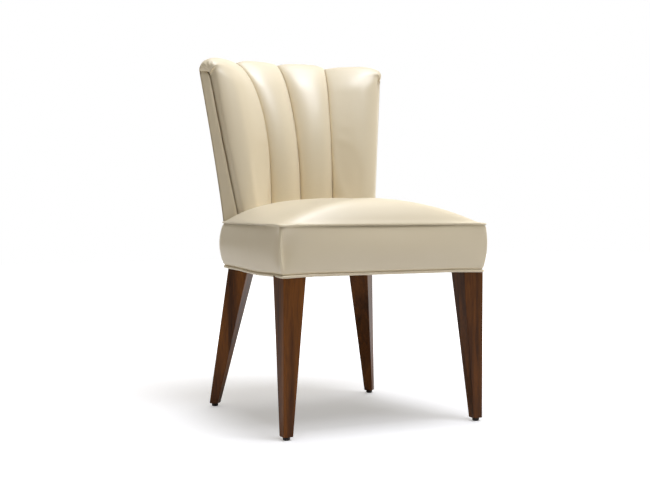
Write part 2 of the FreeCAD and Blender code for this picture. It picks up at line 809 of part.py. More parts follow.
def member_section(z, half):
    """Plan of a cross member of the frame, symmetrical about the chair's centre."""
    front, rear = front_y(half, z, frame_front), rear_y(half, z, rear_inset)
    points = [Vector(-half, front, z), Vector(half, front, z),
              Vector(half, rear, z), Vector(-half, rear, z)]
    middles = [Vector(0, front_y(0, z, frame_front), z), None,
               Vector(0, rear_y(0, z, rear_inset), z), None]
    return plan_loop(points, middles)


def post_section(z):
    corner, radius, _, _, joint = rear_circles(z, rear_inset)
    a = Vector(joint.x, front_y(joint.x, z, frame_front), z)
    b, c = end_point(z, frame_front), rear_end(z, rear_inset)
    front_x = (a.x + b.x) / 2
    middles = [Vector(front_x, front_y(front_x, z, frame_front), z), None,
               on_circle(corner, radius, c, joint), None]
    return plan_loop([a, b, c, joint], middles)


def make_post():
    """A post under the right-hand end of the back, standing on the rear rail."""
    post = back_layer(post_section, post_bottom, size("frame_top"))
    return post.cut([make_dowel(x, y) for x, y in dowel_places()])


def cross_rail(bottom, top):
    """A rail of the back between the two posts."""
    gap = 0.1
    return back_layer(lambda z: member_section(z, rear_circles(z, rear_inset)[4].x - gap),
                      bottom, top)


def make_stile():
    return back_layer(lambda z: member_section(z, size("stile_width") / 2),
                      stuffing_top, top_rail_bottom)


def panel_section(z):
    front, back = size("padding"), frame_front - 0.1
    a, b = end_point(z, front), end_point(z, back)
    points = [Vector(-a.x, a.y, z), a, b, Vector(-b.x, b.y, z)]
    middles = [Vector(0, front_y(0, z, front), z), None, Vector(0, front_y(0, z, back), z), None]
    return plan_loop(points, middles)


def make_panel():
    """Thin curved panel on the front of the frame, under the channels."""
    return back_layer(panel_section, stuffing_bottom, size("frame_top"))


def envelope_section(z):
    depth = size("padding") - 0.3
    a = end_point(z, depth)
    out = a + end_normal(z) * 40
    far = size("seat_front_width")
    points = [Vector(-a.x, a.y, z), a, out, Vector(out.x + 60, out.y + far, z),
              Vector(-out.x - 60, out.y + far, z), Vector(-out.x, out.y, z)]
    middles = [Vector(0, front_y(0, z, depth), z)] + [None] * 5
    return plan_loop(points, middles)


def frame_envelope():
    """Everything behind the padding and below the frame's top."""
    return back_layer(envelope_section, rail_top - 5, size("frame_top") + 0.3)


def channel_section(k, z, roll, crest, skin=0.0):
    """Plan of channel k between two seam lines; skin moves the face inside the leather.
    roll is 0 up the back and grows to 1 where front and rear close over the top."""
    a, b = valley(k, z), valley(k + 1, z)
    ra, rb = rear_point(k, z), rear_point(k + 1, z)
    along = (b - a).normalize()
    inward = Vector(-along.y, along.x, 0)
    gap = size("seam_gap") / 2
    outer_left, outer_right = k == 0, k == 3
    across_a, across_b = ra - a, rb - b
    a = a + across_a * (0.48 * roll) + along * (0 if outer_left else gap)
    b = b + across_b * (0.48 * roll) - along * (0 if outer_right else gap)
    ra = ra - across_a * (0.4 * roll) + along * (0 if outer_left else gap)
    rb = rb - across_b * (0.4 * roll) - along * (0 if outer_right else gap)
    chord = (b - a).Length
    radius = (chord ** 2 / 4 + crest ** 2) / (2 * crest)
    half_angle = math.asin(min(1.0, chord / 2 / radius))
    middle = (a + b) / 2 - inward * crest
    centre = middle + inward * radius
    reach = 4.0 if skin else 0.0
    turn_a = half_angle + (-skin if outer_left else reach) / radius
    turn_b = half_angle + (-skin if outer_right else reach) / radius
    face = radius - skin
    front_a = centre - along * (face * math.sin(turn_a)) - inward * (face * math.cos(turn_a))
    front_b = centre + along * (face * math.sin(turn_b)) - inward * (face * math.cos(turn_b))
    middle = centre - inward * face
    true_a, true_b = rear_point(k, z), rear_point(k + 1, z)
    bow = rear_y((true_a.x + true_b.x) / 2, z) - (true_a.y + true_b.y) / 2
    rear_a = ra - inward * skin + along * (skin if outer_left else -reach)
    rear_b = rb - inward * skin - along * (skin if outer_right else -reach)
    rear_middle = (rear_a + rear_b) / 2 + Vector(0, bow, 0)
    return plan_loop([front_a, front_b, rear_b, rear_a], [middle, None, rear_middle, None])


def channel_loft(k, skin):
    """A channel from the seat to its rolled top."""
    roll_start, crest = size("roll_start"), size("channel_crest")
    sections = [channel_section(k, z, 0.0, crest, skin) for z in back_levels()]
    for angle in (30, 55, 76) if skin else (30, 55, 75, 88):
        turn = math.radians(angle)
        roll = 1 - math.cos(turn)
        z = roll_start + (size("roll_height") - skin) * math.sin(turn)
        sections.append(channel_section(k, z, roll, crest * (1 - 0.45 * roll), skin))
    reach = 2 * size("seat_depth")
    under = Part.makeBox(2 * reach, 2 * reach, 40, Vector(-reach, -reach, foam_bottom + 0.4 - 40))
    return loft(sections).cut(under)


def strip_section(z):
    proud = end_normal(z) * 0.4
    front, back = valley(4, z) + proud, rear_end(z, size("leather") + 0.2, False) + proud
    inward = end_normal(z) * -(size("strip_thickness") + 0.4)
    return plan_loop([front, back, back + inward, front + inward], [None] * 4)


def mirror_solid(solid):
    return solid.mirror(Vector(0, 0, 0), Vector(1, 0, 0))


def outside_section(z, inset):
    """Plan of the space in front of the rear face moved in by inset."""
    corner, radius, centre, wide, joint = rear_circles(z, inset)
    end = rear_end(z, inset, False)
    middle = on_circle(corner, radius, end, joint)
    flip = lambda p: Vector(-p.x, p.y, p.z)
    front = Vector(end.x * 0.8, end.y - 60, z)
    points = [flip(end), flip(joint), joint, end, front, flip(front)]
    middles = [flip(middle), Vector(0, centre.y + wide, z), middle, None, None, None]
    return plan_loop(points, middles)


def make_outside_cover():
    """Leather over the rear of the back, from the seat's welt to the frame's top."""
    bottom, top = top_cover_bottom, size("frame_top") - 0.3
    outer = back_layer(lambda z: outside_section(z, 0.0), bottom, top)
    inner = back_layer(lambda z: outside_section(z, size("leather")), bottom - 1, top + 1)
    return outer.cut(inner)


def footprint(bottom, top):
    """The space that the back takes up, without the fluting of its front."""
    sections = []
    for z in [bottom + (top - bottom) * k / 4 for k in range(5)]:
        seams = [valley(k, z) for k in range(5)]
        front = [seams[0]] + [p - Vector(0, 2, 0) for p in seams[1:4]] + [seams[4]]
        edge = rear_edge(z)
        far = size("seat_front_width")
        points = front + [edge, Vector(far, edge.y, z), Vector(far, 2 * far, z),
                          Vector(-far, 2 * far, z), Vector(-far, edge.y, z),
                          Vector(-edge.x, edge.y, z)]
        sections.append(plan_loop(points, [None] * len(points)))
    return Part.makeLoft(sections, True, True)


# Build the pieces

make_front_rail()
side_rail = make_side_rail()
mirrored(side_rail, "seat_left_rail")
make_rear_rail()
front_block = make_front_block()
mirrored(front_block, "front_left_corner_block")
rear_block = make_rear_block()
mirrored(rear_block, "rear_left_corner_block")

front_leg = make_front_leg()
mirrored(front_leg, "front_left_leg")
rear_leg = make_rear_leg()
mirrored(rear_leg, "rear_left_leg")
for corner in ("front", "rear"):
    glide = make_glide(corner + "_right")
    mirrored(glide, corner + "_left_glide")
group_piece("glide_nails", [make_nail(x, y) for x, y in four_places(FOOT_PLACES)])
group_piece("leg_bolts", [make_bolt(x, y) for x, y in four_places(BOLT_PLACES)])
group_piece("leg_washers", [make_washer(x, y) for x, y in four_places(BOLT_PLACES)])
group_piece("leg_nuts", [make_nut(x, y) for x, y in four_places(BOLT_PLACES)])
seat_straps()

cover = prism(seat_outline(leg_top, frame_inset), size("dust_cover_thickness"))
for x, y in four_places(BOLT_PLACES):
    cover = cover.cut(Part.makeCylinder(size("bolt_diameter") / 2 + 0.2,
                                        size("dust_cover_thickness"), Vector(x, y, leg_top)))
shape_piece("dust_cover", cover)

# The back's soft parts, made before the seat top because they cut into it
channels = [channel_loft(k, 0.0) for k in range(2)]
fillings = [channel_loft(k, size("leather")) for k in range(2)]
envelope = frame_envelope()
left_strip = mirror_solid(back_layer(strip_section, top_cover_bottom, size("frame_top") - 0.3))
channel_names = ("left_outer", "left_inner")
soft = []
for k, name in enumerate(channel_names):
    whole = channels[k].cut(envelope)
    if k == 0:
        whole = whole.cut(left_strip)
    skin = whole.cut(fillings[k])
    core = whole.common(fillings[k])
    skin_piece = shape_piece(name + "_channel_cover", skin)
    core_piece = shape_piece(name + "_channel_filling", core)
    mirrored(skin_piece, name.replace("left", "right") + "_channel_cover")
    mirrored(core_piece, name.replace("left", "right") + "_channel_filling")
    soft.append(whole)
strip_piece = shape_piece("left_side_strip", left_strip)
mirrored(strip_piece, "right_side_strip")
shape_piece("outside_back_cover", make_outside_cover())

right_post = shape_piece("back_right_post", make_post())
mirrored(right_post, "back_left_post")
group_piece("back_dowels", [make_dowel(x, y) for x, y in dowel_places()])
shape_piece("back_top_rail", cross_rail(top_rail_bottom, size("frame_top")))
shape_piece("back_stuffing_rail", cross_rail(stuffing_bottom, stuffing_top))
shape_piece("back_centre_stile", make_stile())
shape_piece("back_panel", make_panel())

# Seat foam, padding and leather
padding_ring = loft(band_sections(-size("leather"), band_bottom, band_top))
band = loft(band_sections(0.0, band_bottom, band_top))
rails_prism = prism(seat_outline(band_bottom, frame_inset + 0.1,
                                 radii=(0.6, size("rear_corner_radius") + frame_inset)),
                    band_top - band_bottom)
below_foam = Part.makeBox(1000, 1000, rail_top - 0.3 - band_bottom,
                          Vector(-500, -200, band_bottom))
shape_piece("seat_band", band.cut(padding_ring))
shape_piece("seat_edge_padding", padding_ring.cut(rails_prism).common(below_foam))
welt(bottom_welt_z, -1.0, size("bottom_welt_diameter"), "seat_bottom_welt",
     size("bottom_welt_diameter") * 0.65)
welt(size("seam_height"), inner_face + size("top_welt_diameter") / 2 + welt_gap,
     size("top_welt_diameter"), "seat_top_welt", size("seat_corner_radius"))

back_block = []
for whole in channels:
    back_block += [whole, mirror_solid(whole)]
back_block += [left_strip, mirror_solid(left_strip)]
back_block.append(footprint(foam_bottom - 5, size("seam_height") + 2 * size("crown_height")))
top_solid = loft(crown_sections(size("seam_stand"), top_cover_bottom, 0.0))
foam_crown = loft(crown_sections(inner_face, top_cover_bottom, size("leather")))
foam_base = prism(seat_outline(foam_bottom, inner_face), top_cover_bottom - foam_bottom)
seat_top = top_solid.cut(foam_crown)
foam = foam_base.fuse(foam_crown)
for block in back_block:
    seat_top = seat_top.cut(block)
    foam = foam.cut(block)
shape_piece("seat_top_cover", seat_top)
shape_piece("seat_foam", foam)

# Check every object, then write the sub-parts
doc.recompute()
for item in doc.Objects:
    if "Invalid" in item.State or "Error" in item.State:
        raise RuntimeError("%s failed: %s" % (item.Label, item.State))
faulty = [p.Label for p in nodes
          if p.Shape.isNull() or not p.Shape.isValid() or p.Shape.Volume <= 0]
for piece in nodes:
    print(piece.Label, len(piece.Shape.Solids), round(piece.Shape.Volume))
if faulty:
    raise RuntimeError("no valid shape: %s" % ", ".join(faulty))

os.makedirs("parts", exist_ok=True)
for piece in nodes:
    piece.Shape.exportStep("parts/%s.step" % piece.Label)
print(len(nodes), "sub-parts written")
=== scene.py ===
import math

import bmesh
import bpy
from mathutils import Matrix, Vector, noise

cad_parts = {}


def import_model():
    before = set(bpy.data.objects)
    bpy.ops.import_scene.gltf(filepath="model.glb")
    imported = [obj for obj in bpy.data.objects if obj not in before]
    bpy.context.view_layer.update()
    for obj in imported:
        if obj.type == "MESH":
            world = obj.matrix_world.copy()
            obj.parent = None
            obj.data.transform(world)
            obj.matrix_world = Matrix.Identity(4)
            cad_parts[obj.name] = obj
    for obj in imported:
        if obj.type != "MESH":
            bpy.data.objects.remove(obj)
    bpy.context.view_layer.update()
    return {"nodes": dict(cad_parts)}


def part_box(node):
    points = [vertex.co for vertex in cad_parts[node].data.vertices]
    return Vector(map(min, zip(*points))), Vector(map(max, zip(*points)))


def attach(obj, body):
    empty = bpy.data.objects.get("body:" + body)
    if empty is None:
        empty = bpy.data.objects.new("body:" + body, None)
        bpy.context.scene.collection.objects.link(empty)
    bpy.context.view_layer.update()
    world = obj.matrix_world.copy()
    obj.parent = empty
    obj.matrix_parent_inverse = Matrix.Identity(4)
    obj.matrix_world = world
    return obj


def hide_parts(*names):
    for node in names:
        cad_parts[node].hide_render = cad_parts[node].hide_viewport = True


# An armless upholstered chair in cream leather on walnut legs. Lengths are in millimetres in the
# seat's own plan, with y = 0 on the front faces of the front legs, and mesh_piece() puts them
# into the frame in metres.

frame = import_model()
nodes = frame["nodes"]
MM = 0.001
FRONT_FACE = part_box("front_right_leg")[0].y / MM

# Sizes, as in the construction
SEAT_FRONT_WIDTH = 493.0
SEAT_REAR_WIDTH = 413.0
SEAT_DEPTH = 454.0
REAR_CORNER_RADIUS = 75.0
REAR_BOW = 8.0
SEAM_STAND = 2.7
SEAM_HEIGHT = 442.0
BOTTOM_WELT = 6.4
CREST = 22.0
REAR_SEAM = 806.0
BACK_TOP = 840.0
REAR_LEG_PLACE = (161.5, 412.0)
REAR_FOOT_PLACE = (214.5, 457.0)
FOOT_HEIGHT = 7.3
GLIDE_INSET = 20.5 / 2

# Sizes fitted more closely to the photograph than in the construction
FRONT_CORNER_RADIUS = 8.0
CROWN_HEIGHT = 56.3
TOP_WELT = 2.4
LEG_TOP = 339.2
BOTTOM_WELT_HEIGHT = LEG_TOP + 0.2 + BOTTOM_WELT / 2
BAND_BOTTOM = BOTTOM_WELT_HEIGHT + BOTTOM_WELT / 2 - 0.6
BAND_TOP = SEAM_HEIGHT - TOP_WELT / 2 + 0.4
DUST_COVER_HEIGHT = 339.9
ROLL_START = 772.0
SEAM_TOP = 842.0
STRIP_TOP = 804.0
STRIP_CORNER = 10.0
CHANNEL_FOOT = 436.0
STRIP_FOOT = 443.0
SEAT_MEETS_BACK = 480.0
FRONT_LEG_TOP, FRONT_LEG_FOOT = 51.6, 21.8
REAR_LEG_TOP, REAR_LEG_FOOT = 50.4, 20.6
EDGE_ROUNDING = 1.6

# The crown: how far in its side and front slopes reach, how steep they are, from the front of
# the seat to the rear at the sides, and the share by which it falls towards the back
CROWN_SIDE, CROWN_FRONT = 300.0, 180.0
SIDE_STEEPNESS, FRONT_STEEPNESS = (2.3, 6.3), 6.6
REAR_FALL = 0.46

# How far the leather is pulled in and out at the front corners, and folded at the back's top
RIDGE = 1.6
FRONT_HOLLOW, SIDE_HOLLOW = 12.0, 8.0
RIGHT_CORNER_SHARE = 0.2
SEAM_DIP = 2.4
FOLD_DEPTH = 2.2
FOLD_SPREAD = 27.0

# Steps of the meshes and of the cloth
SEAT_RINGS = 46
BAND_STEPS, BAND_ROWS = 160, 22
CHANNEL_STEPS, CAP_STEPS, FRONT_ROWS, ROLL_ROWS = 30, 10, 60, 30
COVER_REACH = 3.0


def smoothstep(low, high, value):
    t = min(max((value - low) / (high - low), 0.0), 1.0)
    return t * t * (3 - 2 * t)


def mix(a, b, t):
    return a + (b - a) * t


def bump(value, centre, width):
    return math.exp(-((value - centre) / width) ** 2)


def waver(x, y, z, scale, seed):
    """Smooth unevenness between -1 and 1."""
    return noise.noise(Vector((x / scale + seed, y / scale, z / scale)))


# Plan of the seat


class Outline:
    """The seat's plan: four bowed sides with tangent arcs between them. Side 0 is the right,
    1 the rear, 2 the left and 3 the front."""

    def __init__(self, front=0.0, rear=0.0, bulge=(0.0, 0.0), radii=None, scale=1.0):
        inside = Vector((0, SEAT_DEPTH / 2))
        front_half = SEAT_FRONT_WIDTH / 2 + front
        rear_half = SEAT_REAR_WIDTH / 2 + rear
        corners = [Vector((front_half, -front)), Vector((rear_half, SEAT_DEPTH + rear)),
                   Vector((-rear_half, SEAT_DEPTH + rear)), Vector((-front_half, -front))]
        corners = [inside + (c - inside) * scale for c in corners]
        front_radius, rear_radius = radii or (FRONT_CORNER_RADIUS, REAR_CORNER_RADIUS + rear)
        front_bow, side_bow = (max(b, 0.4) for b in bulge)
        bows = (side_bow, max(REAR_BOW * scale, 0.4), side_bow, front_bow)
        self.circles = [self.edge_circle(corners[i], corners[(i + 1) % 4], bows[i], inside)
                        for i in range(4)]
        self.rounds = []
        for i, corner in enumerate(corners):
            radius = front_radius if i in (0, 3) else rear_radius
            self.rounds.append(self.rounding(self.circles[i - 1], self.circles[i], corner, radius))
        self.sides = [self.side_arcs(i) for i in range(4)]

    @staticmethod
    def edge_circle(start, end, bow, inside):
        chord = (end - start).length
        radius = (chord ** 2 / 4 + bow ** 2) / (2 * bow)
        along = (end - start).normalized()
        outward = Vector((-along.y, along.x))
        if outward.dot((start + end) / 2 - inside) < 0:
            outward = -outward
        return (start + end) / 2 + outward * (bow - radius), radius

    @staticmethod
    def rounding(first, second, corner, radius):
        (c1, r1), (c2, r2) = first, second
        r1, r2 = r1 - radius, r2 - radius
        gap = (c2 - c1).length
        along = (c2 - c1) / gap
        reach = (gap ** 2 + r1 ** 2 - r2 ** 2) / (2 * gap)
        rise = math.sqrt(max(r1 ** 2 - reach ** 2, 0.0))
        across = Vector((-along.y, along.x))
        choices = [c1 + along * reach + across * rise, c1 + along * reach - across * rise]
        return min(choices, key=lambda p: (p - corner).length), radius

    def touch(self, side, corner):
        """Where a side's circle touches a corner's arc."""
        middle, reach = self.circles[side]
        return middle + (self.rounds[corner][0] - middle).normalized() * reach

    def side_arcs(self, side):
        """Half of the corner before, the side and half of the corner after, as arcs."""
        before, after = side, (side + 1) % 4
        start, end = self.touch(side, before), self.touch(side, after)
        arcs = []
        for corner, point, other in ((before, start, self.touch(side - 1, before)),
                                     (after, end, self.touch((side + 1) % 4, after))):
            centre, radius = self.rounds[corner]
            middle = centre + ((point + other) / 2 - centre).normalized() * radius
            pair = (middle, point) if corner == before else (point, middle)
            arcs.append((centre, radius, pair[0], pair[1]))
        centre, radius = self.circles[side]
        return [arcs[0], (centre, radius, start, end), arcs[1]]

    def point(self, side, t):
        """Point and outward normal at t from 0 to 1 along a side, closer together in corners."""
        arcs = self.sides[side]
        weights = [(b - a).length + 10.0 for _, _, a, b in arcs]
        place = t * sum(weights)
        for (centre, radius, a, b), weight in zip(arcs, weights):
            if place <= weight or (centre, radius, a, b) == arcs[-1]:
                break
            place -= weight
        share = min(place / weight, 1.0)
        u, w = a - centre, b - centre
        angle = u.angle_signed(w)
        turn = -angle * share
        arm = Vector((u.x * math.cos(turn) - u.y * math.sin(turn),
                      u.x * math.sin(turn) + u.y * math.cos(turn)))
        return centre + arm, arm.normalized()

    def ring(self, per_side):
        """Points and normals once round, starting at the middle of the front right corner."""
        return [self.point(side, k / per_side) for side in range(4) for k in range(per_side)]


SEAM_OUTLINE = Outline(SEAM_STAND, SEAM_STAND)
REAR_CENTRE, REAR_RADIUS = SEAM_OUTLINE.rounds[1]
REAR_SET = SEAM_OUTLINE.point(1, 0.5)[0].y

# Plan of the back at the seat's seam, and how far it moves by BACK_TOP

CENTRE_SET, CENTRE_LEAN, CENTRE_BEND = 423.0, 115.0, 2.4
MIDDLE_SPREAD, MIDDLE_FLARE, MIDDLE_FLARE_BEND = 84.0, 35.0, 3.8
MIDDLE_SET, MIDDLE_LEAN, MIDDLE_BEND = 414.0, 103.0, 3.2
GROOVE_SPREAD, GROOVE_FLARE = 181.0, 55.0
GROOVE_SET, GROOVE_LEAN, GROOVE_BOW = 376.0, 70.0, 16.0
EDGE_ANGLE = math.radians(26.6)
EDGE_FLARE, EDGE_LEAN, EDGE_BEND = 46.0, 52.0, 1.15
REAR_FLATTENING = 0.4
BACK_THICKENING = 5.0


def share_of(z):
    return (z - SEAM_HEIGHT) / (BACK_TOP - SEAM_HEIGHT)


def bend(z, power):
    return max(share_of(z), 0.0) ** power


def valley(index, z):
    """Seam lines of the channels: 0 and 4 are the side grooves, 2 is the centre."""
    side = (-1, -1, 0, 1, 1)[index]
    share = share_of(z)
    if index == 2:
        return Vector((0.0, CENTRE_SET + CENTRE_LEAN * bend(z, CENTRE_BEND), z))
    if index in (1, 3):
        return Vector((side * (MIDDLE_SPREAD + MIDDLE_FLARE * bend(z, MIDDLE_FLARE_BEND)),
                       MIDDLE_SET + MIDDLE_LEAN * bend(z, MIDDLE_BEND), z))
    return Vector((side * (GROOVE_SPREAD + GROOVE_FLARE * share),
                   GROOVE_SET + GROOVE_LEAN * share + GROOVE_BOW * share * (1 - share), z))


def rear_edge(z):
    """Rear corner of the right-hand end face."""
    moved = bend(z, EDGE_BEND)
    return Vector((REAR_CENTRE.x + REAR_RADIUS * math.cos(EDGE_ANGLE) + EDGE_FLARE * moved,
                   REAR_CENTRE.y + REAR_RADIUS * math.sin(EDGE_ANGLE) + EDGE_LEAN * moved, z))


ROUNDNESS = REAR_RADIUS / (REAR_SET - rear_edge(0).y)


def rear_circles(z):
    """The outside back in plan: a corner circle, the wide circle behind, and where they meet."""
    share = max(share_of(z), 0.0)
    middle = REAR_SET + CENTRE_LEAN * bend(z, CENTRE_BEND) + BACK_THICKENING * share
    radius = (middle - rear_edge(z).y) * ROUNDNESS * (1 - REAR_FLATTENING * share)
    corner = rear_edge(z) - Vector((math.cos(EDGE_ANGLE), math.sin(EDGE_ANGLE), 0)) * radius
    drop = corner.y - middle
    wide = (radius ** 2 - corner.x ** 2 - drop ** 2) / (2 * (drop + radius))
    centre = Vector((0, middle - wide, z))
    return corner, radius, centre, wide, centre + (corner - centre).normalized() * wide


def rear_point(x, z):
    corner, radius, centre, wide, joint = rear_circles(z)
    if abs(x) <= joint.x:
        y = centre.y + math.sqrt(wide ** 2 - x ** 2)
    else:
        y = corner.y + math.sqrt(max(radius ** 2 - (abs(x) - corner.x) ** 2, 0.0))
    return Vector((x, y, z))


def behind_seam(index, z):
    """The outside back behind a seam line."""
    if index in (0, 4):
        edge = rear_edge(z)
        return Vector((edge.x * (1 if index == 4 else -1), edge.y, z))
    return rear_point(valley(index, z).x * 1.1, z)


def end_normal(z):
    along = (rear_edge(z) - valley(4, z)).normalized()
    return Vector((along.y, -along.x, 0))


# Making pieces


def mesh_piece(name, points, faces, material, replaced, subdivide=1):
    """A mesh from points in millimetres, riding on the chair and standing for CAD nodes."""
    data = bpy.data.meshes.new(name)
    data.from_pydata([(x * MM, (y + FRONT_FACE) * MM, z * MM) for x, y, z in points], [], faces)
    data.update()
    data.shade_smooth()
    piece = bpy.data.objects.new(name, data)
    bpy.context.collection.objects.link(piece)
    data.materials.append(material)
    if subdivide:
        modifier = piece.modifiers.new("Smooth", "SUBSURF")
        modifier.levels = modifier.render_levels = subdivide
    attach(piece, "root")
    if replaced:
        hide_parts(*replaced)
    return piece


def grid_faces(rows, columns, closed=False):
    """Quads between rows of points; closed joins the last column to the first."""
    faces = []
    for i in range(rows - 1):
        for j in range(columns if closed else columns - 1):
            k = (j + 1) % columns
            faces.append((i * columns + j, i * columns + k,
                          (i + 1) * columns + k, (i + 1) * columns + j))
    return faces


def stretch(covers, pressure=2.5, frames=20):
    """Let the leather swell like stuffed cloth, held along its seams, and keep the result.
    Each cover is a piece, its held points, and how far a point may move in millimetres."""
    scene = bpy.context.scene
    for piece, held, limit in covers:
        group = piece.vertex_groups.new(name="seams")
        group.add(held, 1.0, "REPLACE")
        cloth = piece.modifiers.new("Cloth", "CLOTH")
        settings = cloth.settings
        settings.quality = 4
        settings.tension_stiffness = 40
        settings.compression_stiffness = settings.shear_stiffness = 15
        settings.bending_stiffness = 15
        settings.air_damping = 5
        settings.use_pressure = True
        settings.uniform_pressure_force = pressure
        settings.vertex_group_mass = "seams"
        settings.effector_weights.gravity = 0
        cloth.point_cache.frame_start, cloth.point_cache.frame_end = 1, frames
    for frame_number in range(1, frames + 1):
        scene.frame_set(frame_number)
    settled = bpy.context.evaluated_depsgraph_get()
    results = [[v.co.copy() for v in piece.evaluated_get(settled).data.vertices]
               for piece, _, _ in covers]
    for (piece, held, limit), result in zip(covers, results):
        piece.modifiers.clear()
        piece.vertex_groups.clear()
        reach = limit * MM
        for vertex, target in zip(piece.data.vertices, result):
            step = target - vertex.co
            vertex.co += step * (reach * math.tanh(step.length / reach)
                                 / max(step.length, 1e-9))
    scene.frame_set(1)
    for piece, _, _ in covers:
        smooth = piece.modifiers.new("Smooth", "SUBSURF")
        smooth.levels = smooth.render_levels = 1


# Materials


def new_material(name):
    material = bpy.data.materials.new(name)
    material.use_nodes = True
    tree = material.node_tree
    shader = tree.nodes["Principled BSDF"]
    return material, tree, shader


def node(tree, kind, inputs=None, **settings):
    made = tree.nodes.new(kind)
    for key, value in settings.items():
        setattr(made, key, value)
    for key, value in (inputs or {}).items():
        if hasattr(value, "links"):
            tree.links.new(value, made.inputs[key])
        else:
            made.inputs[key].default_value = value
    return made


def srgb(red, green, blue):
    """Linear colour of an 8-bit screen colour."""
    def linear(c):
        c = c / 255
        return c / 12.92 if c <= 0.04045 else ((c + 0.055) / 1.055) ** 2.4
    return (linear(red), linear(green), linear(blue), 1.0)


def place(tree, scale):
    """Object coordinates stretched by a scale along each axis."""
    coordinates = node(tree, "ShaderNodeTexCoord")
    return node(tree, "ShaderNodeMapping", {"Vector": coordinates.outputs["Object"],
                                            "Scale": scale}).outputs["Vector"]


def leather(name, colour, shade, roughness=0.45):
    """Smooth upholstery leather: a faint pebbled grain, cloudy colour and a soft sheen."""
    material, tree, shader = new_material(name)
    where = place(tree, (1, 1, 1))
    clouds = node(tree, "ShaderNodeTexNoise", {"Vector": where, "Scale": 9.0, "Detail": 3.0})
    tone = node(tree, "ShaderNodeMix", {"Factor": clouds.outputs["Fac"]}, data_type="RGBA")
    tone.inputs[6].default_value = colour
    tone.inputs[7].default_value = shade
    tree.links.new(tone.outputs[2], shader.inputs["Base Color"])
    pebbles = node(tree, "ShaderNodeTexVoronoi", {"Vector": where, "Scale": 620.0,
                                                  "Randomness": 0.9},
                   feature="SMOOTH_F1")
    pores = node(tree, "ShaderNodeTexNoise", {"Vector": where, "Scale": 900.0, "Detail": 3.0})
    swell = node(tree, "ShaderNodeTexNoise", {"Vector": where, "Scale": 38.0, "Detail": 2.0})
    grain = node(tree, "ShaderNodeMath", {0: pebbles.outputs["Distance"],
                                          1: pores.outputs["Fac"]}, operation="ADD")
    first = node(tree, "ShaderNodeBump", {"Strength": 0.12, "Distance": 0.0004,
                                          "Height": grain.outputs["Value"]})
    second = node(tree, "ShaderNodeBump", {"Strength": 0.10, "Distance": 0.002,
                                           "Height": swell.outputs["Fac"],
                                           "Normal": first.outputs["Normal"]})
    tree.links.new(second.outputs["Normal"], shader.inputs["Normal"])
    gloss = node(tree, "ShaderNodeMapRange", {"Value": pores.outputs["Fac"],
                                              "To Min": roughness - 0.04,
                                              "To Max": roughness + 0.06})
    tree.links.new(gloss.outputs["Result"], shader.inputs["Roughness"])
    shader.inputs["Specular IOR Level"].default_value = 0.8
    shader.inputs["Coat Weight"].default_value = 0.45
    shader.inputs["Coat Roughness"].default_value = 0.3
    shader.inputs["Sheen Weight"].default_value = 0.2
    shader.inputs["Sheen Roughness"].default_value = 0.4
    return material


def wood(name, dark, light, streak, roughness, gloss=0.25, along=(26.0, 26.0, 1.6)):
    """Wood with its grain along the piece: long streaks, fine fibres and pores."""
    material, tree, shader = new_material(name)
    where = place(tree, along)
    fine = place(tree, (along[0] * 9, along[1] * 9, along[2] * 5))
    warp = node(tree, "ShaderNodeTexNoise", {"Vector": where, "Scale": 0.9, "Detail": 2.0,
                                             "Distortion": 0.6})
    bands = node(tree, "ShaderNodeTexNoise", {"Vector": where, "Scale": 2.6, "Detail": 5.0,
                                              "Roughness": 0.62, "Distortion": 0.9})
    fibres = node(tree, "ShaderNodeTexNoise", {"Vector": fine, "Scale": 4.0, "Detail": 3.0})
    ramp = node(tree, "ShaderNodeValToRGB", {"Fac": bands.outputs["Fac"]})
    ramp.color_ramp.elements[0].position = 0.36
    ramp.color_ramp.elements[0].color = dark
    ramp.color_ramp.elements[1].position = 0.66
    ramp.color_ramp.elements[1].color = light
    glow = node(tree, "ShaderNodeMapRange", {"Value": warp.outputs["Fac"], "From Min": 0.5,
                                             "From Max": 0.72, "To Max": 0.85})
    streaked = node(tree, "ShaderNodeMix", {"Factor": glow.outputs["Result"]}, data_type="RGBA")
    tree.links.new(ramp.outputs["Color"], streaked.inputs[6])
    streaked.inputs[7].default_value = streak
    fibre_tone = node(tree, "ShaderNodeMapRange", {"Value": fibres.outputs["Fac"],
                                                   "From Min": 0.3, "From Max": 0.7,
                                                   "To Min": 0.62, "To Max": 1.15})
    toned = node(tree, "ShaderNodeMix", {"Factor": 1.0}, data_type="RGBA", blend_type="MULTIPLY")
    tree.links.new(streaked.outputs[2], toned.inputs[6])
    tree.links.new(fibre_tone.outputs["Result"], toned.inputs[7])
    tree.links.new(toned.outputs[2], shader.inputs["Base Color"])
    pores = node(tree, "ShaderNodeBump", {"Strength": 0.08, "Distance": 0.0004,
                                          "Height": fibres.outputs["Fac"]})
    tree.links.new(pores.outputs["Normal"], shader.inputs["Normal"])
    shader.inputs["Roughness"].default_value = roughness
    shader.inputs["Specular IOR Level"].default_value = gloss
    return material


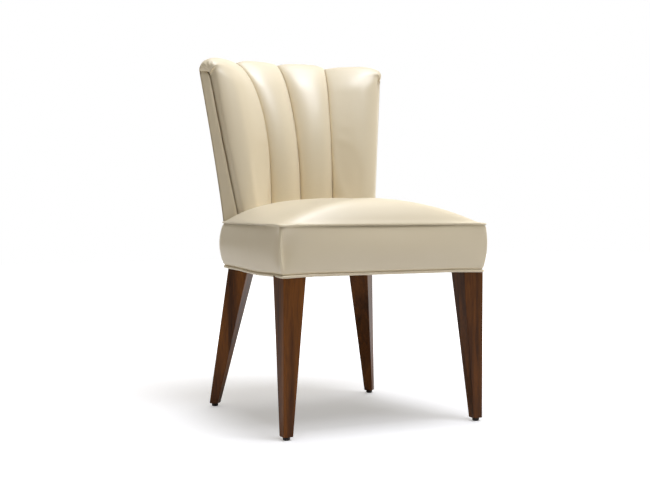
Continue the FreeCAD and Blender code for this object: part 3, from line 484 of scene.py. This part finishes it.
def cloth(name, colour, scale, strength=0.4, roughness=0.9):
    """Plain woven cloth."""
    material, tree, shader = new_material(name)
    where = place(tree, (1, 1, 1))
    warp = node(tree, "ShaderNodeTexWave", {"Vector": where, "Scale": scale}, bands_direction="X")
    weft = node(tree, "ShaderNodeTexWave", {"Vector": where, "Scale": scale}, bands_direction="Y")
    weave = node(tree, "ShaderNodeMath", {0: warp.outputs["Fac"], 1: weft.outputs["Fac"]},
                 operation="MULTIPLY")
    tone = node(tree, "ShaderNodeMix", {"Factor": weave.outputs["Value"]}, data_type="RGBA")
    tone.inputs[6].default_value = tuple(c * 0.7 for c in colour[:3]) + (1.0,)
    tone.inputs[7].default_value = colour
    tree.links.new(tone.outputs[2], shader.inputs["Base Color"])
    threads = node(tree, "ShaderNodeBump", {"Strength": strength, "Distance": 0.0005,
                                            "Height": weave.outputs["Value"]})
    tree.links.new(threads.outputs["Normal"], shader.inputs["Normal"])
    shader.inputs["Roughness"].default_value = roughness
    return material


def hard(name, colour, roughness, metallic=0.0, scale=300.0, strength=0.08):
    """Moulded plastic or plated steel with a fine surface texture."""
    material, tree, shader = new_material(name)
    where = place(tree, (1, 1, 1))
    speckle = node(tree, "ShaderNodeTexNoise", {"Vector": where, "Scale": scale, "Detail": 3.0})
    tone = node(tree, "ShaderNodeMix", {"Factor": speckle.outputs["Fac"]}, data_type="RGBA")
    tone.inputs[6].default_value = tuple(c * 0.8 for c in colour[:3]) + (1.0,)
    tone.inputs[7].default_value = colour
    tree.links.new(tone.outputs[2], shader.inputs["Base Color"])
    rough = node(tree, "ShaderNodeBump", {"Strength": strength, "Distance": 0.0003,
                                          "Height": speckle.outputs["Fac"]})
    tree.links.new(rough.outputs["Normal"], shader.inputs["Normal"])
    shader.inputs["Roughness"].default_value = roughness
    shader.inputs["Metallic"].default_value = metallic
    return material


CREAM = leather("cream_leather", srgb(237, 223, 192), srgb(233, 217, 184))
WELT = leather("cream_welt", srgb(237, 223, 192), srgb(232, 216, 183))
WALNUT = wood("walnut", srgb(72, 38, 8), srgb(116, 66, 18), srgb(150, 88, 22), 0.42)
BEECH = wood("frame_beech", srgb(186, 150, 108), srgb(214, 182, 140), srgb(198, 162, 118), 0.7)
BOARD = wood("panel_board", srgb(176, 138, 96), srgb(202, 168, 124), srgb(188, 150, 106), 0.75)
FILLING = cloth("seat_filling", srgb(236, 228, 200), 400.0)
WADDING = cloth("channel_filling", srgb(240, 236, 222), 350.0)
WEBBING = cloth("webbing", srgb(132, 112, 78), 180.0, strength=0.8)
DUST_CLOTH = cloth("dust_cloth", srgb(34, 33, 33), 420.0, strength=0.5)
GLIDE = hard("glide_plastic", srgb(44, 34, 28), 0.45)
ZINC = hard("zinc", srgb(196, 198, 202), 0.35, metallic=1.0)

for name, cad in nodes.items():
    slot_material = next((m for m in (CREAM, WELT, WALNUT, BEECH, BOARD, FILLING, WADDING,
                                      WEBBING, DUST_CLOTH, GLIDE, ZINC)
                          if cad.material_slots and cad.material_slots[0].material
                          and cad.material_slots[0].material.name.startswith(m.name)), None)
    if slot_material:
        cad.material_slots[0].material = slot_material

# Seat


def ring_place(half, k, side, step):
    """Column and row, in a grid of square rings, of a step along a side of ring k."""
    return ((half + k, half - k + step), (half + k - step, half + k),
            (half - k, half + k - step), (half - k + step, half - k))[side]


def front_of_back(x, z):
    """y of the channels' front surface at x."""
    seams = [valley(k, z) for k in range(5)]
    for a, b in zip(seams, seams[1:]):
        if a.x <= x <= b.x:
            t = (x - a.x) / (b.x - a.x)
            return mix(a.y, b.y, t) - CREST * 4 * t * (1 - t)
    end = rear_edge(z)
    t = (abs(x) - seams[4].x) / (end.x - seams[4].x)
    return mix(seams[4].y, end.y, min(t, 3.0))


def crown(x, y):
    """Rise of the seat's top: each edge eases up to the crown, and the lower one rules."""
    along = min(max((y + 3) / 460, 0.0), 1.0)
    half = mix(250.0, 210.0, along) + 6 * math.sin(math.pi * along)
    from_side = max(half - abs(x), 0.0)
    from_front = max(y + 4.0, 0.0)
    steep = mix(*SIDE_STEEPNESS, smoothstep(150, 380, y))
    side_fall = max(1 - from_side / CROWN_SIDE, 0.0) ** steep
    front_fall = max(1 - from_front / CROWN_FRONT, 0.0) ** FRONT_STEEPNESS
    fall = min((side_fall ** 2.5 + front_fall ** 2.5) ** 0.4, 1.0)
    return CROWN_HEIGHT * (1 - fall) * (1 - REAR_FALL * smoothstep(220, 450, y))


def seat_top():
    """The crowned top: square rings of a grid, each on the seat's outline drawn in. The last
    rings roll over the edge, each by an amount outwards and up."""
    half = SEAT_RINGS
    size = 2 * half + 1
    points = [None] * (size * size)
    height = SEAM_HEIGHT + TOP_WELT / 2 - 0.5
    roll_rise = 4.3
    rolled = {half: (-1.0, 0.0), half - 1: (1.0, 0.6), half - 2: (1.3, 2.4),
              half - 3: (0.6, roll_rise)}
    for k in range(half + 1):
        scale = min(max((k / (half - 3)) ** 0.9, 0.001), 1.0)
        soft = 1 - scale
        radii = [min(radius * scale + 4 * soft, 150 * scale)
                 for radius in (FRONT_CORNER_RADIUS + 160 * soft, REAR_CORNER_RADIUS + 40 * soft)]
        bulge = (15 * scale * soft + 3 * scale, 12 * scale * soft + 2 * scale)
        ring = Outline(SEAM_STAND, SEAM_STAND, bulge, radii, scale)
        for side in range(4):
            for step in range(max(2 * k, 1)):
                point, normal = ring.point(side, step / max(2 * k, 1))
                pull = corner_pull(point, normal, 1.0, ring.point(0, 0)[0]) * scale ** 3
                point = point + pull + normal * rolled.get(k, (0, 0))[0]
                column, row = ring_place(half, k, side, step)
                rise = rolled[k][1] if k in rolled else roll_rise + crown(point.x, point.y)
                if k not in rolled:
                    corner_fall = max(1 - scale ** 8, 0.0) ** 0.5
                    rise *= mix(1, corner_fall, smoothstep(330, 430, point.y))
                    rise += 0.8 * waver(point.x, point.y, 0, 120, 3.1) * min(1, 5 * soft)
                    behind = point.y - front_of_back(point.x, SEAT_MEETS_BACK)
                    rise -= min(34, rise) * smoothstep(2.0, 20.0, behind)
                rise -= seam_dip(point) * scale ** 6
                points[row * size + column] = (point.x, point.y, height + rise)
    faces = []
    for row in range(size - 1):
        for column in range(size - 1):
            quad = (row * size + column, row * size + column + 1,
                    (row + 1) * size + column + 1, (row + 1) * size + column)
            middle_x = sum(points[i][0] for i in quad) / 4
            middle_y = sum(points[i][1] for i in quad) / 4
            if middle_y - front_of_back(middle_x, SEAT_MEETS_BACK) < 26:
                faces.append(quad)
    return mesh_piece("seat_top", points, faces, CREAM,
                      ["seat_top_cover", "seat_foam"], subdivide=0)


def corner_pull(point, normal, share, corner):
    """Shift of the leather near a front corner, where it is pulled tight round it: a ridge down
    the corner between two hollows that are deepest high up."""
    if point.y > 200:
        return Vector((0, 0))
    distance = math.hypot(abs(point.x) - corner.x, point.y - corner.y)
    fade = math.exp(-distance / 60)
    swell = math.sin(math.pi * share)
    ridge = RIDGE * math.sin(math.pi * min(share * 1.1, 1.0)) * bump(distance, 0, 4)
    away = max(distance - 4, 0.0)
    high_up = math.sin(math.pi * share ** 1.2)
    pinch = 1.0 if point.x < 0 else RIGHT_CORNER_SHARE
    front_hollow = high_up * math.exp(-(away / mix(10.0, 36.0, share)) ** 1.1)
    side_hollow = high_up * math.exp(-(away / mix(8.0, 40.0, share)) ** 1.2)
    side = (mix(4.0, 8.0, share) + 3.5 * swell) * fade + ridge
    side -= SIDE_HOLLOW * pinch * smoothstep(2, 14, distance) * side_hollow
    front = mix(1.5, 4.0, share) * fade + ridge
    front -= FRONT_HOLLOW * pinch * smoothstep(0, 3.5, distance) * front_hollow
    return Vector((normal.x * side, normal.y * front))


def seam_dip(point):
    """How far the top seam is pulled down at a front corner."""
    away = math.hypot(abs(point.x) - SEAT_FRONT_WIDTH / 2, point.y)
    return SEAM_DIP * bump(away, 0, 13)


def droop(point):
    """How far the seat's lower edge hangs below the rails."""
    near_corner = 2.4 * bump(abs(point.x) - SEAT_FRONT_WIDTH / 2, 0, 40) * bump(point.y, 0, 60)
    along_side = 4.0 * bump(point.y, 170, 110) if abs(point.x) > 180 else 0.0
    return 2.4 + 0.6 * near_corner + along_side


def seat_band():
    """The boxing between the two welts, swelling between them except at the front corners."""
    points = []
    for i in range(BAND_ROWS):
        share = i / (BAND_ROWS - 1)
        swell = math.sin(math.pi * share) ** 0.85
        stand = 0.6 + (SEAM_STAND - 0.6) * share
        ring = Outline(stand + 1.2 * swell, stand + 9.0 * swell, (1 + 6 * swell, 1 + 3.5 * swell))
        corner = ring.point(0, 0)[0]
        for point, normal in ring.ring(BAND_STEPS):
            pull = corner_pull(point, normal, share, corner)
            out = 0.5 * waver(point.x, point.y, 100 * share, 70, 9.0) * swell
            out -= 3.5 * bump(share, 0, 0.03) + 1.2 * bump(share, 1, 0.02)
            z = mix(BAND_BOTTOM - droop(point), BAND_TOP, share) - seam_dip(point) * share ** 4
            point = point + pull + normal * out
            points.append((point.x, point.y, z))
    faces = grid_faces(BAND_ROWS, 4 * BAND_STEPS, closed=True)
    return mesh_piece("seat_band_leather", points, faces, CREAM,
                      ["seat_band", "seat_edge_padding"], subdivide=0)


def seat_welt(name, grow, z, diameter, corner_radius, replaced, share):
    """Piping: a round section that follows the seat's outline."""
    per_side, around = 150, 10
    ring = Outline(grow, grow, radii=(corner_radius, REAR_CORNER_RADIUS + grow)).ring(per_side)
    points, corner = [], ring[0][0]
    for point, normal in ring:
        fall = mix(droop(point), seam_dip(point), share)
        point = point + corner_pull(point, normal, share, corner)
        ripple = mix(0.35, 1.1, smoothstep(250, 400, point.y) * (1 - share))
        lift = ripple * waver(point.x, point.y, z, 22, 5.0) - fall
        radius = diameter / 2 * (1 + 0.06 * waver(point.x, point.y, 0, 9, 2.0))
        for k in range(around):
            turn = 2 * math.pi * k / around
            points.append((point.x + normal.x * radius * math.cos(turn),
                           point.y + normal.y * radius * math.cos(turn),
                           z + lift + radius * math.sin(turn)))
    count = len(ring)
    faces = []
    for i in range(count):
        for k in range(around):
            j, m = (i + 1) % count, (k + 1) % around
            faces.append((i * around + k, j * around + k, j * around + m, i * around + m))
    return mesh_piece(name, points, faces, WELT, [replaced])


# Back


def shoulder(t, width, power, root):
    """Rises from 0 at t = 0 to 1 at t = width, steeply at first."""
    reach = 1 - min(t / width, 1.0)
    return max(1 - reach ** power, 0.0) ** (1 / root)


def crest_share(t, outer):
    """Height of a channel over its chord at t across it; outer ones are full at t = 0."""
    if outer:
        thick = mix(1.5, 0.96, smoothstep(0.3, 0.9, t))
        return thick * shoulder(t, 0.42, 2.0, 2.8) * shoulder(1 - t, 0.5, 2.3, 1.35)
    return shoulder(t, 0.5, 2.3, 1.35) * shoulder(1 - t, 0.5, 2.3, 1.35)


def top_height(t, outer):
    flat = shoulder(t, 0.5, 3.0, 1.6) * shoulder(1 - t, 0.5, 3.0, 1.6)
    if outer:
        notch = 3.0 * smoothstep(0.7, 1, t) + 11.0 * max(1 - t / 0.32, 0.0) ** 2
        return SEAM_TOP - 2.0 + 1.0 * flat - notch
    return SEAM_TOP - 1.5 + 7.0 * flat - 3.0 * smoothstep(0.7, 1, 1 - t)


def inward(index, z):
    along = (valley(index + 1, z) - valley(index, z)).normalized()
    return Vector((along.y, -along.x, 0))


def roll_start(t, outer):
    """Where the front begins to roll over the top: later at the outer end, over the strip."""
    return mix(STRIP_TOP - 8, ROLL_START, smoothstep(0.0, 0.4, t)) if outer else ROLL_START


def arch_point(index, t, climb, angle):
    """Surface of a left-hand channel: angle 0 is its front, climbing from 0 to 1, pi/2 its top
    and pi its rear."""
    outer = index == 0
    base = roll_start(t, outer)
    z = mix(CHANNEL_FOOT, base, climb)
    if angle > 0:
        base = base if angle < math.pi / 2 else REAR_SEAM
        z = base + (top_height(t, outer) - base) * math.sin(angle)
    front = mix(valley(index, z), valley(index + 1, z), t)
    crest = crest_share(t, outer)
    if outer:
        lift = 1.15 * smoothstep(0.1, 0.7, math.sin(angle)) * (1 - smoothstep(0.3, 0.9, t))
        crest = (crest ** 4 + lift ** 4) ** 0.25
    front += inward(index, z) * CREST * crest
    rear = mix(behind_seam(index, z), behind_seam(index + 1, z), t)
    if abs(rear.x) < rear_edge(z).x:
        rear = rear_point(rear.x, z)
    return mix((front + rear) / 2, front if angle < math.pi / 2 else rear, abs(math.cos(angle)))


def pleats(point):
    """Shift into the folds that fan out from the strip's top front corner."""
    reach = point - valley(0, STRIP_TOP - 2)
    distance = reach.length
    turn = math.degrees(math.atan2(reach.z, reach.dot(Vector((0.89, -0.46, 0)))))
    folds = math.cos(math.radians(turn - 84) * 360 / FOLD_SPREAD) * smoothstep(20, 45, turn)
    folds *= 1 - smoothstep(150, 175, turn)
    depth = FOLD_DEPTH * folds * smoothstep(2, 8, distance) * (1 - smoothstep(12, 30, distance))
    return Vector((-0.55, -0.75, 0.35)).normalized() * -depth


def channel_row(index, climb, angle):
    """Points across a left-hand channel, drawn together a little at its seams."""
    z = mix(CHANNEL_FOOT, ROLL_START, climb)
    shift = (valley(index + 1, z) - valley(index, z)).normalized()
    row = []
    for k in range(CHANNEL_STEPS + 1):
        t = mix(0.5 - 0.5 * math.cos(math.pi * k / CHANNEL_STEPS), k / CHANNEL_STEPS, 0.5)
        edge = t * 0.9 if t < 0.5 else (1 - t) * 0.9
        nudge = 0.5 * (1 - smoothstep(0, 0.06, edge))
        if index == 0 and t < 0.5:
            nudge = 3.2 * (1 - smoothstep(0, 0.04, t))
        row.append(arch_point(index, t, climb, angle) + shift * (nudge if t < 0.5 else -nudge))
    return row


def end_wrap(start, climb, angle, inside):
    """Points that lead up to an outer channel's first one: from the strip's top over the end of
    the back where the channel rolls, and out of the groove below that."""
    normal = end_normal(mix(CHANNEL_FOOT, ROLL_START, climb))
    end = Vector((-normal.x, normal.y, 0))
    groove, edge = valley(0, STRIP_TOP), behind_seam(0, STRIP_TOP)
    length = (edge - groove).length
    along = length * (1 - math.cos(angle)) / 2
    near = min(along / STRIP_CORNER, 1.0)
    target = mix(groove, edge, along / length)
    target.z = STRIP_TOP - STRIP_CORNER + STRIP_CORNER * math.sqrt(1 - (1 - near) ** 2)
    points = []
    for m in range(CAP_STEPS, 0, -1):
        share = m / CAP_STEPS
        if angle > 0:
            swell = 6.0 * math.sin(math.pi * share ** 0.8) * math.sin(angle) ** 0.7
            points.append(mix(start, target, share) + end * swell)
        else:
            points.append(start + inside * share)
    under = points[0] + (inside if angle == 0 else Vector((0, 0, -2)) - end * 6)
    return [under] + points


def channel(index, side, name, replaced):
    """A stuffed channel; the left-hand ones are mirrored for the right. The outer ones also
    wrap over the end of the back, down to the top of the side strip. Returns it and the points
    that its seams hold."""
    outer = index == 0
    stations = [(k / FRONT_ROWS, 0.0) for k in range(FRONT_ROWS)]
    stations += [(1.0, math.pi * k / ROLL_ROWS) for k in range(ROLL_ROWS + 1)]
    rows = []
    for climb, angle in stations:
        row = channel_row(index, climb, angle)
        low = Vector((0, 0, 1)) * -math.sin(angle)
        back = -inward(index, mix(CHANNEL_FOOT, ROLL_START, climb)) * math.cos(angle)
        inside = (back + low).normalized() * 7.0
        if outer:
            left = end_wrap(row[0], climb, angle, inside)
        else:
            left = [row[0] + inside * 2, row[0] + inside]
        row = left + row + [row[-1] + inside, row[-1] + inside * 2]
        rows.append([p + pleats(p) for p in row] if outer else row)
    columns = len(rows[0])
    points = [(p.x * -side, p.y, p.z) for row in rows for p in row]
    faces = grid_faces(len(rows), columns)
    if side < 0:
        faces = [face[::-1] for face in faces]
    piece = mesh_piece(name, points, faces, CREAM, replaced, subdivide=0)
    held = [i for i in range(len(points))
            if i < columns or i >= len(points) - columns
            or i % columns < (2 if outer else 3) or i % columns > columns - 4]
    if outer:
        held += [i for i in range(len(points))
                 if i // columns < FRONT_ROWS and i % columns < CAP_STEPS + 4]
    return piece, held


def side_strip(side, name, replaced):
    """The flat leather strip on an end face of the back, with a rounded top front corner."""
    rows, columns = 60, 9
    points = []
    for i in range(rows):
        z = mix(STRIP_FOOT, STRIP_TOP, i / (rows - 1))
        front, back = valley(4, z), rear_edge(z)
        length = (back - front).length
        cut = 0.0
        if z > STRIP_TOP - STRIP_CORNER:
            rise = min((z - STRIP_TOP + STRIP_CORNER) / STRIP_CORNER, 1.0)
            cut = STRIP_CORNER * (1 - math.sqrt(max(1 - rise ** 2, 0.0)))
        outward = end_normal(z)
        for j in range(columns):
            t = j / (columns - 1)
            place_along = mix(cut + 4.0, length, t) / length
            edge = min(t, 1 - t) * (length - cut)
            proud = 1.0 * smoothstep(0, 4.0, edge) - 1.6 * (1 - smoothstep(0, 1.5, edge))
            proud -= 2.0 * smoothstep(STRIP_TOP - 1.5, STRIP_TOP, z)
            p = mix(front, back, place_along) + outward * proud
            points.append((p.x * side, p.y, p.z))
    return mesh_piece(name, points, grid_faces(rows, columns), CREAM, replaced)


def outside_back():
    """Leather over the rear of the back, its edges turned in."""
    rows, columns = 56, 61
    points = []
    for i in range(rows):
        z = mix(STRIP_FOOT + 0.6, REAR_SEAM - 0.6, i / (rows - 1))
        edge = rear_edge(z)
        for j in range(columns):
            u = 2 * j / (columns - 1) - 1
            x = edge.x * math.sin(u * math.pi / 2)
            p = rear_point(x, z)
            turned_in = bump(abs(u), 1, 0.02) + bump(z, REAR_SEAM, 1.5) + bump(z, STRIP_FOOT, 1.2)
            inset = 2.0 * turned_in
            inset += 0.5 * waver(p.x, 0, p.z, 110, 7.0) - 0.25
            points.append((p.x, p.y - max(inset, 0), p.z))
    return mesh_piece("outside_back", points, grid_faces(rows, columns), CREAM,
                      ["outside_back_cover"])


# Legs and feet


def leg(name, top, foot, replaced):
    """A tapered square leg; top and foot are four corners each."""
    levels = 12
    bm = bmesh.new()
    rings = []
    for i in range(levels + 1):
        t = i / levels
        z = mix(FOOT_HEIGHT, LEG_TOP, t)
        rings.append([bm.verts.new((mix(f[0], u[0], t), mix(f[1], u[1], t), z))
                      for f, u in zip(foot, top)])
    for lower, upper in zip(rings, rings[1:]):
        for k in range(4):
            bm.faces.new((lower[k], lower[(k + 1) % 4], upper[(k + 1) % 4], upper[k]))
    bm.faces.new(rings[0][::-1])
    bm.faces.new(rings[-1])
    bm.normal_update()
    corners = [e for e in bm.edges if e.is_manifold and e.calc_face_angle(0) > 0.8]
    bmesh.ops.bevel(bm, geom=corners, offset=EDGE_ROUNDING, segments=3, profile=0.6, affect="EDGES")
    bmesh.ops.triangulate(bm, faces=[f for f in bm.faces if len(f.verts) > 4])
    points = [tuple(v.co) for v in bm.verts]
    faces = [tuple(v.index for v in f.verts) for f in bm.faces]
    bm.free()
    piece = mesh_piece(name, points, faces, WALNUT, [replaced], subdivide=0)
    weighted = piece.modifiers.new("Normals", "WEIGHTED_NORMAL")
    weighted.keep_sharp = True
    return piece


def legs():
    outer = SEAT_FRONT_WIDTH / 2 + 0.6
    for side, word in ((1, "right"), (-1, "left")):
        corners = []
        for width in (FRONT_LEG_TOP, FRONT_LEG_FOOT):
            square = [(outer - width, 0), (outer, 0), (outer, width), (outer - width, width)]
            corners.append([(x * side, y) for x, y in square][::side])
        leg("leg_front_" + word, corners[0], corners[1], "front_%s_leg" % word)
        corners = []
        for (x, y), width in ((REAR_LEG_PLACE, REAR_LEG_TOP), (REAR_FOOT_PLACE, REAR_LEG_FOOT)):
            half = width / math.sqrt(2)
            diamond = [(x - half, y), (x, y - half), (x + half, y), (x, y + half)]
            corners.append([(px * side, py) for px, py in diamond][::side])
        leg("leg_rear_" + word, corners[0], corners[1], "rear_%s_leg" % word)


def glide(name, x, y, replaced):
    """A turned glide with a rounded rim and a recess for its nail."""
    profile = [(0.0, 2.4), (2.9, 2.4), (2.9, 0.3), (3.2, 0.0), (5.4, 0.0), (6.6, 0.5), (7.4, 1.4),
               (7.75, 2.6), (7.75, 6.6), (7.4, 7.2), (0.0, 7.2)]
    around = 28
    points = []
    for radius, z in profile:
        for k in range(around):
            turn = 2 * math.pi * k / around
            points.append((x + radius * math.cos(turn), y + radius * math.sin(turn), z))
    faces = grid_faces(len(profile), around, closed=True)
    return mesh_piece(name, points, faces, GLIDE, [replaced], subdivide=0)


def dust_cover():
    """Thin cloth stretched under the seat, hardly sagging."""
    half = 20
    size = 2 * half + 1
    points = [None] * (size * size)
    for k in range(half + 1):
        scale = max(k / half, 0.001)
        ring = Outline(-4.5, -4.5, radii=(10.0 * scale, 70.0 * scale), scale=scale)
        for side in range(4):
            for step in range(max(2 * k, 1)):
                point, _ = ring.point(side, step / max(2 * k, 1))
                column, row = ring_place(half, k, side, step)
                sag = 1.6 * (1 - scale ** 2) + 0.3 * waver(point.x, point.y, 0, 60, 1.0)
                z = DUST_COVER_HEIGHT - sag * (1 - scale ** 6)
                points[row * size + column] = (point.x, point.y, z)
    faces = [face[::-1] for face in grid_faces(size, size)]
    piece = mesh_piece("dust_cloth_sheet", points, faces, DUST_CLOTH,
                       ["dust_cover"])
    return piece


# Build the chair

top = seat_top()
rim = [v.index for v in top.data.vertices if v.co.z < (SEAM_HEIGHT + 4.0) * MM]
hidden = [v.index for v in top.data.vertices
          if v.co.y / MM - FRONT_FACE > front_of_back(v.co.x / MM, SEAT_MEETS_BACK) - 4]
band = seat_band()
band_size = len(band.data.vertices)
lower_edge = list(range(4 * BAND_STEPS))
upper_edge = list(range(band_size - 4 * BAND_STEPS, band_size))
covers = [(top, rim + hidden, COVER_REACH), (band, lower_edge + upper_edge, COVER_REACH)]
seat_welt("top_welt", SEAM_STAND - 0.8 - TOP_WELT / 2, SEAM_HEIGHT, TOP_WELT,
          FRONT_CORNER_RADIUS, "seat_top_welt", 1.0)
seat_welt("bottom_welt", -1.0, BOTTOM_WELT_HEIGHT, BOTTOM_WELT, 4.2, "seat_bottom_welt", 0.0)
for side, word in ((-1, "left"), (1, "right")):
    for index, kind in enumerate(("outer", "inner")):
        name = "%s_%s_channel" % (word, kind)
        made, held = channel(index, side, name + "_leather",
                             [name + "_cover", name + "_filling"])
        covers.append((made, held, COVER_REACH))
stretch(covers)
side_strip(-1, "strip_left", ["left_side_strip"])
side_strip(1, "strip_right", ["right_side_strip"])
outside_back()
legs()
for side, word in ((1, "right"), (-1, "left")):
    glide("glide_front_" + word, side * (SEAT_FRONT_WIDTH / 2 - GLIDE_INSET), GLIDE_INSET,
          "front_%s_glide" % word)
    glide("glide_rear_" + word, side * REAR_FOOT_PLACE[0], REAR_FOOT_PLACE[1],
          "rear_%s_glide" % word)
dust_cover()

# Stage, camera and light

FLOOR_GLOW = 0.37
FLOOR_BOUNCE = 0.13
FLOOR_MIRRORED = 1.2
WORLD_FRONT = 0.04
WORLD_REAR = 0.34
WORLD_MIRRORED = 1.5
BRIGHT_SIDE = (0.9, 0.43, 0)
BRIGHT_REAR = (0.3, 0.95, 0)
WHITE = (1, 1, 1, 1)
LAMP_COLOUR = (0.94, 0.98, 1.07)
PIXELS_WIDE, FOCAL_PIXELS, SENSOR = 650, 1145.9, 36.0
YAW, PITCH = math.radians(27.436), math.radians(2.23)
CAMERA_PLACE = (-1248.4, -2112.2, 484.9)


def floor():
    """A pale floor that keeps the chair's shadow and runs to white all round."""
    material, tree, shader = new_material("studio_floor")
    shader.inputs["Base Color"].default_value = (0.835, 0.82, 0.81, 1)
    shader.inputs["Roughness"].default_value = 0.9
    shader.inputs["Specular IOR Level"].default_value = 0.0
    shader.inputs["Emission Color"].default_value = WHITE
    seen = node(tree, "ShaderNodeLightPath")
    where = node(tree, "ShaderNodeTexCoord")
    reach = node(tree, "ShaderNodeVectorMath", {0: where.outputs["Object"]}, operation="LENGTH")
    glow = node(tree, "ShaderNodeMapRange", {"Value": reach.outputs["Value"],
                                             "From Min": 0.45, "From Max": 1.6,
                                             "To Min": FLOOR_GLOW, "To Max": 1.0},
                interpolation_type="SMOOTHSTEP")
    bounce = node(tree, "ShaderNodeMapRange", {"Value": reach.outputs["Value"],
                                               "From Min": 0.3, "From Max": 0.8,
                                               "To Max": FLOOR_BOUNCE})
    aim = node(tree, "ShaderNodeVectorMath", {0: where.outputs["Object"]},
               operation="DOT_PRODUCT")
    aim.inputs[1].default_value = BRIGHT_SIDE
    mirrored = node(tree, "ShaderNodeMapRange", {"Value": aim.outputs["Value"], "From Min": 0.5,
                                                 "From Max": 1.5, "To Max": FLOOR_MIRRORED})
    lit = node(tree, "ShaderNodeMix", {"Factor": seen.outputs["Is Glossy Ray"]},
               data_type="FLOAT")
    tree.links.new(bounce.outputs["Result"], lit.inputs[2])
    tree.links.new(mirrored.outputs["Result"], lit.inputs[3])
    strength = node(tree, "ShaderNodeMix", {"Factor": seen.outputs["Is Camera Ray"]},
                    data_type="FLOAT")
    tree.links.new(lit.outputs[0], strength.inputs[2])
    tree.links.new(glow.outputs["Result"], strength.inputs[3])
    tree.links.new(strength.outputs[0], shader.inputs["Emission Strength"])
    bpy.ops.mesh.primitive_plane_add(size=14, location=(0, 0, 0))
    plane = bpy.context.object
    plane.name = "floor"
    plane.data.materials.append(material)


def softbox(name, location, target, size, power):
    data = bpy.data.lights.new(name, "AREA")
    data.shape = "RECTANGLE"
    data.size, data.size_y = size
    data.energy = power
    data.color = LAMP_COLOUR
    lamp = bpy.data.objects.new(name, data)
    lamp.location = location
    direction = Vector(target) - Vector(location)
    lamp.rotation_euler = direction.to_track_quat("-Z", "Y").to_euler()
    bpy.context.collection.objects.link(lamp)


def world():
    """A white studio, brighter behind the chair and to its right than in front."""
    made = bpy.data.worlds.new("studio")
    bpy.context.scene.world = made
    made.use_nodes = True
    tree = made.node_tree
    background = tree.nodes["Background"]
    where = node(tree, "ShaderNodeTexCoord")
    aim = node(tree, "ShaderNodeVectorMath", {0: where.outputs["Generated"]},
               operation="DOT_PRODUCT")
    aim.inputs[1].default_value = BRIGHT_SIDE
    rear = node(tree, "ShaderNodeVectorMath", {0: where.outputs["Generated"]},
                operation="DOT_PRODUCT")
    rear.inputs[1].default_value = BRIGHT_REAR
    side = node(tree, "ShaderNodeMapRange", {"Value": rear.outputs["Value"], "From Min": -0.9,
                                             "From Max": 0.6}, interpolation_type="SMOOTHSTEP")
    light = node(tree, "ShaderNodeMapRange", {"Value": side.outputs["Result"],
                                              "To Min": WORLD_FRONT, "To Max": WORLD_REAR})
    behind = node(tree, "ShaderNodeMapRange", {"Value": aim.outputs["Value"], "From Min": 0.1,
                                               "From Max": 0.8}, interpolation_type="SMOOTHSTEP")
    mirrored = node(tree, "ShaderNodeMapRange", {"Value": behind.outputs["Result"],
                                                 "To Min": 0.02, "To Max": WORLD_MIRRORED})
    tint = node(tree, "ShaderNodeMix", {"Factor": side.outputs["Result"]}, data_type="RGBA")
    tint.inputs[6].default_value = (1.0, 0.87, 0.66, 1)
    tint.inputs[7].default_value = (1.0, 0.92, 0.76, 1)
    seen = node(tree, "ShaderNodeLightPath")
    plain = node(tree, "ShaderNodeMix", {"Factor": seen.outputs["Is Camera Ray"]},
                 data_type="RGBA")
    tree.links.new(tint.outputs[2], plain.inputs[6])
    plain.inputs[7].default_value = WHITE
    tree.links.new(plain.outputs[2], background.inputs["Color"])
    sharp = node(tree, "ShaderNodeMath", {0: seen.outputs["Is Glossy Ray"],
                                          1: seen.outputs["Is Transmission Ray"]},
                 operation="MAXIMUM")
    lit = node(tree, "ShaderNodeMix", {"Factor": sharp.outputs["Value"]}, data_type="FLOAT")
    tree.links.new(light.outputs["Result"], lit.inputs[2])
    tree.links.new(mirrored.outputs["Result"], lit.inputs[3])
    strength = node(tree, "ShaderNodeMix", {"Factor": seen.outputs["Is Camera Ray"]},
                    data_type="FLOAT")
    tree.links.new(lit.outputs[0], strength.inputs[2])
    strength.inputs[3].default_value = 1.0
    tree.links.new(strength.outputs[0], background.inputs["Strength"])


floor()
world()
softbox("key", (0.8, 0.8, 4.4), (0, 0, 0.4), (1.8, 1.8), 38)
softbox("top", (0.0, -0.7, 4.3), (0, 0, 0.4), (1.7, 1.3), 84)
softbox("front", (0.6, -1.7, 3.5), (0, 0, 0.5), (1.8, 1.1), 36)

camera_data = bpy.data.cameras.new("camera")
camera_data.sensor_fit = "HORIZONTAL"
camera_data.sensor_width = SENSOR
camera_data.lens = FOCAL_PIXELS / PIXELS_WIDE * SENSOR
camera = bpy.data.objects.new("camera", camera_data)
camera.location = (CAMERA_PLACE[0] * MM, (CAMERA_PLACE[1] + FRONT_FACE) * MM,
                   CAMERA_PLACE[2] * MM)
camera.rotation_euler = (math.pi / 2 - PITCH, 0, -YAW)
bpy.context.collection.objects.link(camera)
bpy.context.scene.camera = camera
bpy.context.scene.view_settings.view_transform = "Standard"
